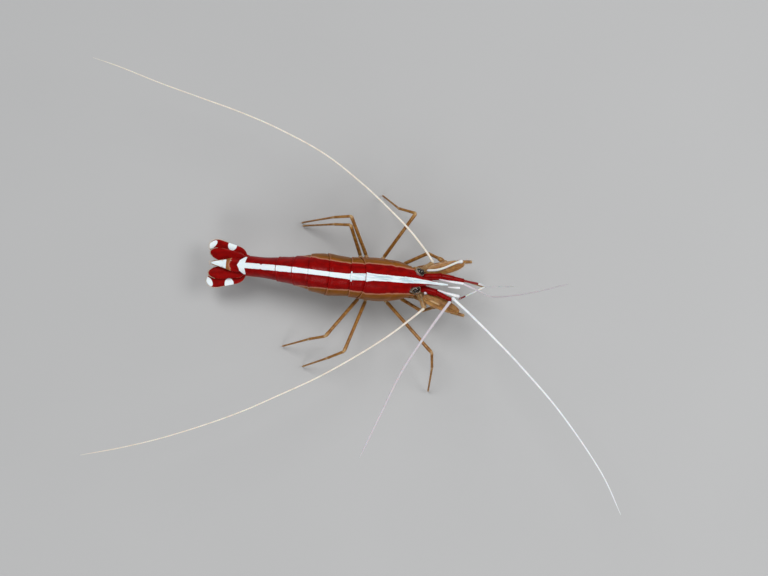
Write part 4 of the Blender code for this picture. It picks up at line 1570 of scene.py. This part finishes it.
@dataclass(frozen=True)
class Limb:
    """A jointed limb through its joints from hip to tip."""

    node: str
    kind: LimbKind
    seed: int
    joints: tuple[Point, ...]
    pale_rings: float = 0.0
    red_claw: float = 0.0
    # How far a joint is bowed up, as a share of its length, the length of a ring, and the foot's height.
    bow: float = 0.03
    ring: float = 0.22
    heel: float = 0.95

    def skin(self) -> Skin:
        """The limb, joint by joint: a walking foot, a brush of bristles, or a claw with or without rings.

        Returns:
            The skin.
        """
        skin = Skin(f"limb_{self.node}", self.node, Finish.LIMB, Finish.BRISTLE)
        p = [np.array(joint) for joint in self.joints]
        for a, b, radii in zip(p, p[1:4], self.kind.value):
            self.reach(skin, a, b, *radii)
        if self.kind is LimbKind.WALKING:
            self.foot(skin, p[3], p[4])
            self.bristles(skin, p[1], p[2], 14, 0.3, 0.33, 0.5)
        elif self.kind is LimbKind.BRUSH:
            self.reach(skin, p[3], p[4], *self.kind.value[3], swell=0.0)
            for k, count in ((1, 26), (2, 40), (3, 110)):
                self.bristles(skin, p[k], p[k + 1], count, 0.55, 0.3, 0.7)
        elif self.kind is LimbKind.RINGED_CLAW:
            wrist = p[3] + 0.74 * (p[4] - p[3])
            self.ringed(skin, p[3], wrist)
            self.claw(skin, wrist, p[4], 0.22)
        else:
            self.claw(skin, p[3], p[4], 0.5)
        return skin

    def reach(self, skin: Skin, a: Array, b: Array, first: float, last: float, swell: float = 0.03) -> None:
        """Adds one joint's tube, bowed up by bow · length · sin(pi t), with round ends and paler joints.

        Args:
            skin: What it is added to.
            a: Its start.
            b: Its end.
            first: Radius at its start.
            last: Radius at its end.
            swell: Swelling before its far end.
        """
        t, size, more = end_spaced(30), float(np.linalg.norm(b - a)), 0.1 * unit(b - a)
        path = line(a - more, b + more, t) + np.outer(self.bow * size * np.sin(math.pi * t), (0, 0, 1))
        radius = blend(first, last, t) + swell * bump(t, 0.93, 0.05) - 0.02 * np.sin(math.pi * t)
        size += 0.2
        radius = radius * round_ends(t, first / size, last / size)
        joint = np.clip(bump(t * size, 0.0, 0.35) + bump((1 - t) * size, 0.0, 0.45), 0, 1)
        skin.add(tube(path, radius, 16), join(0, 0, joint)[:, None])

    def bristles(
        self, skin: Skin, a: Array, b: Array, count: int, length: float, around: float, spread: float = 1.0
    ) -> None:
        """Scatters bristles round a stretch, leaning along it.

        Args:
            skin: What they are added to.
            a: The stretch's start.
            b: Its end.
            count: How many.
            length: How long.
            around: Radius of the limb there.
            spread: Share of the way round that they stand on, about the underside.
        """
        rng = np.random.default_rng(self.seed + count)
        t = np.sort(rng.random(count))
        ahead = unit(b - a)
        side = unit(np.cross(ahead, (0, 0, 1)) + 1e-6)
        angle = (spread * 2 * math.pi * (rng.random(count) - 0.5))[:, None]
        out = np.sin(angle) * side - np.cos(angle) * np.cross(side, ahead)
        lengths = length * (0.7 + 0.5 * rng.random(count))
        skin.fringe(line(a, b, t) + around * out, 0.7 * ahead + out, lengths)

    def claw(self, skin: Skin, a: Array, b: Array, width: float) -> None:
        """Adds a palm and two fingers that nearly meet, each finger a curved tube that tapers.

        Args:
            skin: What they are added to.
            a: The palm's root.
            b: The fingers' tip.
            width: Half the palm's width.
        """
        ahead, size, t = unit(b - a), float(np.linalg.norm(b - a)), end_spaced(26)
        side = unit(np.cross(ahead, (0, 0, 1)))
        palm = a + 0.52 * (b - a)
        radius = width * (0.72 + 0.34 * np.sin(math.pi * np.clip(t * 1.1, 0, 1))) * round_ends(t, 0.12, 0.1)
        path = line(a - 0.08 * ahead, palm + 0.04 * ahead, t)
        skin.add(tube(path, radius, 20, 0.8), (0, self.red_claw, 0.1))
        for sign, thick in ((1.0, 0.56), (-1.0, 0.46)):
            start = palm - 0.05 * ahead + sign * 0.42 * width * side
            bow = np.outer(sign * 0.30 * width * np.sin(math.pi * t), side)
            path = start + np.outer(t, (b - palm) - sign * 0.36 * width * side) + bow
            radius = thick * width * (1 - 0.72 * t) * round_ends(t, 0.1, 0.06)
            skin.add(tube(path, radius, 14), (0, self.red_claw, 0.2))
        self.bristles(skin, palm, b, 16, 0.22 * size**0.3, 0.5 * width)

    def ringed(self, skin: Skin, a: Array, b: Array) -> None:
        """Adds a wrist of short rings: the radius swells as the root of sin(pi phase) in each of them.

        Args:
            skin: What it is added to.
            a: Its start.
            b: Its end.
        """
        rings = int(np.linalg.norm(b - a) / self.ring)
        t = np.linspace(0, 1, 8 * rings + 1)
        phase = (t * rings) % 1
        swell = 0.86 + 0.2 * np.sqrt(np.clip(np.sin(math.pi * phase), 0, 1))
        radius = blend(*self.kind.value[3], t) * swell
        paint = join(self.pale_rings, 0, 0.9 * (np.minimum(phase, 1 - phase) < 0.14))[:, None]
        skin.add(tube(line(a, b, t), radius * round_ends(t, 0.03, 0.03), 14), paint)

    def foot(self, skin: Skin, a: Array, b: Array) -> None:
        """Adds the long last joint and its small two-pointed claw, which stands upright on the floor.

        Args:
            skin: What they are added to.
            a: The joint's start.
            b: The claw's tip.
        """
        heel, ahead, t = b + (0, 0, self.heel), unit(b - a), end_spaced(20)
        self.reach(skin, a, heel, *self.kind.value[3], swell=0.01)
        path = route_through([heel + (0, 0, 0.12), (heel + b) / 2 + 0.05 * ahead, b + (0, 0, 0.02)], 20)
        skin.add(tube(path, (0.2 - 0.11 * t) * round_ends(t, 0.15, 0.04), 12), join(0, 0, 0.4 * t)[:, None])
        skin.thorns(b + (0, 0, 0.42), ahead * (1, 1, 0) * 0.5 - (0, 0, 0.9), 0.34, 0.07, 0, 6)
        back = unit(np.cross(heel - a, np.cross(heel - a, (0, 0, 1))))
        spines = line(a, heel, np.linspace(0.3, 0.95, 9)) + 0.17 * back
        skin.thorns(spines, unit(heel - a) * 0.6 + back, 0.26, 0.03, 1, 4)


# ------------------------------------------------------------------------------------- the whole animal


@dataclass(frozen=True)
class Shrimp:
    """Every part of the animal in its pose."""

    # Where each abdominal shell's edge is on the back and at the flank, from the carapace's to the tail's.
    edges: tuple[tuple[float, float], ...] = (
        Carapace.back, (0.0, -0.1), (-4.4, -6.2), (-8.8, -10.2), (-12.35, -13.4), (-15.8, -17.0),
        (-22.6, -22.3),
    )
    lobes: Point = (0.10, 0.16, 0.18, 0.17, 0.16, 0.12)
    # Place and length of each pair of swimmerets.
    swimmerets: tuple[tuple[float, float], ...] = (
        (0.4, 4.6), (-2.2, 5.2), (-6.6, 5.2), (-10.5, 4.8), (-13.9, 4.2),
    )
    # Side, half sizes of the core, and how far the globe and the core are moved.
    eyes: tuple[Eye, Eye] = (
        Eye(Side.LEFT, (0.92, 0.70, 0.74), (0.0, -0.02, 0.0), (-0.06, -0.10, 0.10)),
        Eye(Side.RIGHT, (0.70, 0.67, 0.76), (0.0, 0.20, 0.0), (-0.08, 0.14, 0.08)),
    )
    # Node, side, root, turn outwards in degrees, length, width, thickness, where it rounds, and its spots.
    blades: tuple[TailBlade, ...] = (
        TailBlade("exopod", Side.LEFT, (-22.35, 1.75, 7.95), 13.5, 8.75, 3.45, 0.5, 0.25, 0.72,
                  ((-29.9, 3.82, 45.7, 1.2, 0.58), (-25.65, 4.05, -15.0, 0.95, 1.12))),
        TailBlade("endopod", Side.LEFT, (-22.45, 1.12, 8.62), 8.0, 8.1, 2.8, 0.45, 0.22, 0.62),
        TailBlade("exopod", Side.RIGHT, (-22.35, 1.75, 7.95), 15.0, 8.75, 3.45, 0.5, 0.25, 0.72,
                  ((-29.95, 4.05, 50.6, 1.15, 0.58), (-25.6, 4.10, -12.0, 0.98, 1.15))),
        TailBlade("endopod", Side.RIGHT, (-22.45, 1.12, 8.62), 8.0, 8.1, 2.8, 0.45, 0.22, 0.62),
    )
    # Side, joints, radii at both ends of each, each branch's radius, lilac share and points, and the knob.
    stems: tuple[Antennule, Antennule] = (
        Antennule(
            Side.LEFT, ((14.6, 1.25, 11.9), (18.9, 1.72, 12.9), (21.3, 1.52, 13.4), (23.4, 1.25, 13.8)),
            ((0.70, 0.74), (0.63, 0.61), (0.52, 0.50)),
            ((0.27, 0.9, ((18.3, 1.10, 13.3), (20.7, 0.84, 13.7), (23.6, 0.72, 14.05))),
             (0.24, 0.1, ((20.3, -0.35, 12.9), (21.6, -0.32, 13.2), (22.9, -0.25, 13.4)))),
        ),
        Antennule(
            Side.RIGHT, ((14.6, -1.05, 11.9), (18.2, -1.78, 12.8), (20.0, -2.5, 13.3), (21.2, -2.95, 13.6)),
            ((0.76, 0.76), (0.64, 0.60), (0.50, 0.50)),
            ((0.40, 0.3, ((18.2, -1.12, 13.3), (20.3, -1.66, 13.8), (22.95, -2.05, 14.1))),),
            ((15.45, -1.95, 12.85), (16.07, -2.03, 12.89)),
        ),
    )
    roots: tuple[AntennaRoot, AntennaRoot] = (
        AntennaRoot(
            Side.LEFT, ((14.6, 2.0, 10.1), (15.9, 3.5, 10.5), (16.75, 4.4, 10.9)),
            ((15.6, 2.7, 12.3), (17.6, 2.99, 12.4), (19.0, 3.5, 12.45), (20.4, 4.25, 12.5), (21.8, 5.0, 12.5),
             (23.0, 5.42, 12.5)),
            (15.5, 2.40, 12.08), 17.0, (-1.0, 2.0), 1.0, 0.42, 0.25,
        ),
        AntennaRoot(
            Side.RIGHT, ((14.6, -2.0, 10.1), (15.4, -3.6, 10.5), (15.85, -5.1, 11.0)),
            ((15.6, -3.1, 12.3), (17.0, -3.5, 12.4), (19.1, -4.2, 12.4), (20.8, -4.85, 12.4),
             (22.8, -5.4, 12.3)),
            (15.4, -2.80, 12.08), -17.0, (0.19, 0.46), 0.0, 0.22, 0.2,
        ),
    )
    # Name, node, points, and the radii at root and tip.
    feelers: tuple[Feeler, ...] = (
        Feeler(
            "feeler_outer_left", "antennule_feeler_outer_left",
            ((23.4, 1.3, 13.9), (26.6, 0.95, 16.2), (28.0, 0.6, 20.0), (30.1, 0.7, 34.0), (32.3, 1.0, 50.0)),
            (0.24, 0.11), crimson=4.3,
        ),
        Feeler(
            "feeler_inner_left", "antennule_feeler_inner_left",
            ((23.3, 0.7, 13.8), (26.4, -0.4, 16.4), (29.8, -1.4, 24.0), (35.8, 0.0, 42.0), (41.9, 2.4, 62.0)),
            (0.2, 0.08), lilac=0.5,
        ),
        Feeler(
            "feeler_outer_right", "antennule_feeler_outer_right",
            ((21.5, -2.5, 13.8), (23.2, -3.8, 14.3), (25.4, -5.5, 15.0), (29.9, -9.2, 16.5),
             (36.6, -15.0, 18.4), (45.6, -23.7, 21.0), (54.7, -34.7, 23.9), (59.6, -43.1, 25.9)),
            (0.3, 0.12), root=0.36,
        ),
        Feeler(
            "feeler_inner_right", "antennule_feeler_inner_right",
            ((21.0, -3.4, 13.8), (17.2, -9.4, 22.0), (12.4, -17.8, 34.0), (9.3, -25.2, 45.0),
             (5.6, -34.5, 57.0)),
            (0.33, 0.15), lilac=0.6, root=0.34,
        ),
        Feeler(
            "feeler_long_left", "antenna_left",
            ((16.8, 4.5, 11.0), (15.5, 6.25, 11.3), (13.7, 8.25, 11.8), (11.3, 10.7, 12.4), (7.8, 13.7, 13.4),
             (1.1, 18.9, 14.9), (-7.8, 24.6, 16.8), (-17.5, 28.7, 18.6), (-26.0, 31.4, 19.8),
             (-34.4, 33.5, 21.0), (-42.8, 35.6, 22.1), (-51.2, 38.0, 23.2), (-56.8, 39.3, 24.0)),
            finish=Finish.CREAM, root=0.32,
        ),
        Feeler(
            "feeler_long_right", "antenna_right",
            ((15.8, -5.3, 11.1), (13.1, -7.9, 11.6), (9.3, -11.4, 12.4), (3.4, -16.0, 13.6),
             (-4.4, -21.4, 15.0), (-12.3, -26.0, 16.4), (-20.1, -30.3, 18.0), (-27.9, -33.9, 19.7),
             (-35.8, -37.1, 21.3), (-43.6, -39.7, 22.6), (-51.5, -41.9, 23.9)),
            finish=Finish.CREAM, root=0.32,
        ),
    )
    # Node, kind, the seed of its bristles, and its joints from hip to tip.
    limbs: tuple[Limb, ...] = (
        Limb("leg_3_left", LimbKind.WALKING, 0,
             ((5.3, 1.6, 5.3), (6.4, 4.7, 5.7), (12.2, 14.4, 12.0), (8.5, 15.2, 8.6), (4.9, 17.8, 0.0))),
        Limb("leg_4_left", LimbKind.WALKING, 1,
             ((3.5, 1.6, 5.3), (2.6, 4.8, 5.7), (-1.2, 12.5, 12.0), (-4.9, 12.0, 9.2), (-11.7, 10.4, 0.0))),
        Limb("leg_5_left", LimbKind.WALKING, 2,
             ((1.8, 1.4, 5.3), (1.4, 4.6, 5.3), (-1.2, 10.7, 10.6), (-4.7, 10.55, 8.0), (-11.4, 9.75, 0.0))),
        Limb("leg_3_right", LimbKind.WALKING, 3,
             ((5.3, -1.6, 5.3), (7.9, -4.7, 5.7), (18.4, -14.4, 10.5), (18.8, -17.6, 7.4),
              (18.6, -22.8, 0.0))),
        Limb("leg_4_right", LimbKind.WALKING, 4,
             ((3.5, -1.6, 5.3), (3.4, -5.0, 5.6), (0.0, -15.9, 10.5), (-3.4, -17.7, 7.8),
              (-8.6, -20.2, 0.0))),
        Limb("leg_5_right", LimbKind.WALKING, 5,
             ((1.8, -1.4, 5.3), (1.8, -4.6, 5.4), (-4.2, -13.1, 10.2), (-7.7, -14.1, 7.4),
              (-13.3, -16.3, 0.0))),
        Limb("leg_1_left", LimbKind.CLAW, 20,
             ((8.9, 1.6, 5.4), (10.8, 3.7, 5.5), (15.6, 6.4, 7.6), (17.9, 5.6, 5.6), (20.6, 4.4, 4.4))),
        Limb("leg_1_right", LimbKind.CLAW, 21,
             ((8.9, -1.6, 5.4), (10.8, -3.7, 5.5), (15.4, -5.9, 7.4), (17.6, -5.0, 5.4), (20.4, -3.9, 4.4))),
        Limb("leg_2_left", LimbKind.RINGED_CLAW, 22,
             ((7.1, 1.6, 5.1), (9.2, 3.1, 3.9), (19.4, 2.3, 5.8), (28.2, 0.5, 8.8), (22.9, -2.7, 9.2)),
             pale_rings=0.7, red_claw=1.0),
        Limb("leg_2_right", LimbKind.RINGED_CLAW, 23,
             ((7.1, -1.6, 5.1), (9.2, -3.1, 3.9), (17.4, -3.2, 5.2), (21.6, -2.6, 3.6), (18.3, -1.6, 2.4))),
        Limb("maxilliped_left", LimbKind.BRUSH, 24,
             ((10.6, 1.6, 6.0), (13.6, 3.0, 6.8), (18.6, 4.4, 7.7), (21.8, 5.1, 7.5), (25.0, 5.5, 6.9))),
        Limb("maxilliped_right", LimbKind.BRUSH, 25,
             ((10.6, -1.6, 6.0), (13.4, -2.9, 6.7), (18.3, -4.6, 7.5), (21.4, -5.4, 7.4), (24.5, -6.0, 6.9))),
    )

    def skins(self) -> Iterator[Skin]:
        """The skin of every piece: shells and the flesh under them, tail, head and limbs.

        Yields:
            Each skin, in order.
        """
        yield Carapace().skin()
        yield Rostrum().skin()
        for number, (front, back, lobe) in enumerate(zip(self.edges, self.edges[1:], self.lobes), start=1):
            rise, nose = (0.04, 1.7) if number == 6 else (0.11, 0.0)
            # Shells 4 and 5 get the painted shadow line across the stripe at their hind edges.
            yield AbdomenShell(number, front, back, lobe, rise, number in (4, 5), nose).skin()
        under = Underside()
        for skin in (under.belly, under.thorax, under.head, under.mouth):
            yield skin()
        yield Telson().skin()
        for side in Side:
            yield from (blade.skin() for blade in self.blades if blade.side is side)
            for number, place in enumerate(self.swimmerets, start=1):
                yield Swimmeret(number, side, *place).skin()
        for eye in self.eyes:
            yield from eye.skins()
        yield from (stem.skin() for stem in self.stems)
        for root in self.roots:
            yield root.stem_skin()
            yield root.scale_skin()
        yield from (feeler.skin() for feeler in self.feelers)
        yield from (limb.skin() for limb in self.limbs)


@dataclass(frozen=True)
class Studio:
    """Pale floor, soft lamps and the camera straight above the back."""

    floor_size: float = 3.0
    camera_place: Point = (7.07, -1.81, 520.0)
    camera_turn: float = math.radians(5.6)
    lens: float = 113.7
    sensor: float = 36.0
    clip: tuple[float, float] = (0.01, 10.0)
    sky: Point = (0.86, 0.88, 0.90, 1)
    sky_power: float = 0.38
    key_place: Point = (-180.0, 260.0, 560.0)
    key_angle: float = math.radians(27)
    key_power: float = 1.35
    # Place, width and power of each disc lamp, and the point that all lamps face.
    lamps: tuple[tuple[Point, float, float], ...] = (
        ((320.0, 120.0, 420.0), 260.0, 0.9), ((-80.0, -420.0, 360.0), 300.0, 0.7),
    )
    target: Point = (0.0, 0.0, 8.0)

    def build(self) -> None:
        """Builds the floor, the lamps, the sky and the camera."""
        mesh, size = bpy.data.meshes.new("floor"), self.floor_size
        signs = ((-1, -1), (1, -1), (1, 1), (-1, 1))
        corners = [(x * size, y * size, CAD_BOX[0][2]) for x, y in signs]
        mesh.from_pydata(corners, [], [(0, 1, 2, 3)])
        mesh.materials.append(Floor().build())
        floor = bpy.data.objects.new("floor", mesh)
        bpy.context.scene.collection.objects.link(floor)
        key = bpy.data.lights.new("key_lamp", "SUN")
        key.angle, key.energy = self.key_angle, self.key_power
        self.aim(self.set_in_scene(key, self.key_place))
        for number, (place, width, power) in enumerate(self.lamps):
            lamp = bpy.data.lights.new(f"lamp_{number}", "AREA")
            lamp.shape, lamp.size, lamp.energy = "DISK", width * MM, power
            self.aim(self.set_in_scene(lamp, place))
        world = bpy.data.worlds.new("pale_room")
        world.use_nodes = True
        tone, power = world.node_tree.nodes["Background"].inputs[:2]
        tone.default_value, power.default_value = self.sky, self.sky_power
        camera = bpy.data.cameras.new("camera")
        camera.lens, camera.sensor_width = self.lens, self.sensor
        camera.clip_start, camera.clip_end = self.clip
        holder = self.set_in_scene(camera, self.camera_place)
        holder.rotation_euler = (0.0, 0.0, self.camera_turn)
        scene = bpy.context.scene
        scene.world, scene.camera, scene.view_settings.view_transform = world, holder, "Standard"

    def set_in_scene(self, data: bpy.types.ID, place: Point) -> bpy.types.Object:
        """Makes an object of a lamp or camera at a place.

        Args:
            data: The lamp or camera.
            place: Where it stands.

        Returns:
            The object.
        """
        holder = bpy.data.objects.new(data.name, data)
        bpy.context.scene.collection.objects.link(holder)
        holder.location = Vector(DATUM + np.array(place) * MM)
        return holder

    def aim(self, holder: bpy.types.Object) -> None:
        """Turns a lamp to the target."""
        ahead = Vector(DATUM + np.array(self.target) * MM) - holder.location
        holder.rotation_euler = ahead.to_track_quat("-Z", "Y").to_euler()


def main() -> None:
    """Builds and reports every piece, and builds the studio."""
    logging.basicConfig(level=logging.INFO, format="%(message)s")
    for skin in Shrimp().skins():
        piece = skin.build()
        LOG.info("%s: %d points, %d faces", piece.name, len(piece.data.vertices), len(piece.data.polygons))
    Studio().build()
    bpy.context.view_layer.update()


if __name__ == "__main__":
    main()
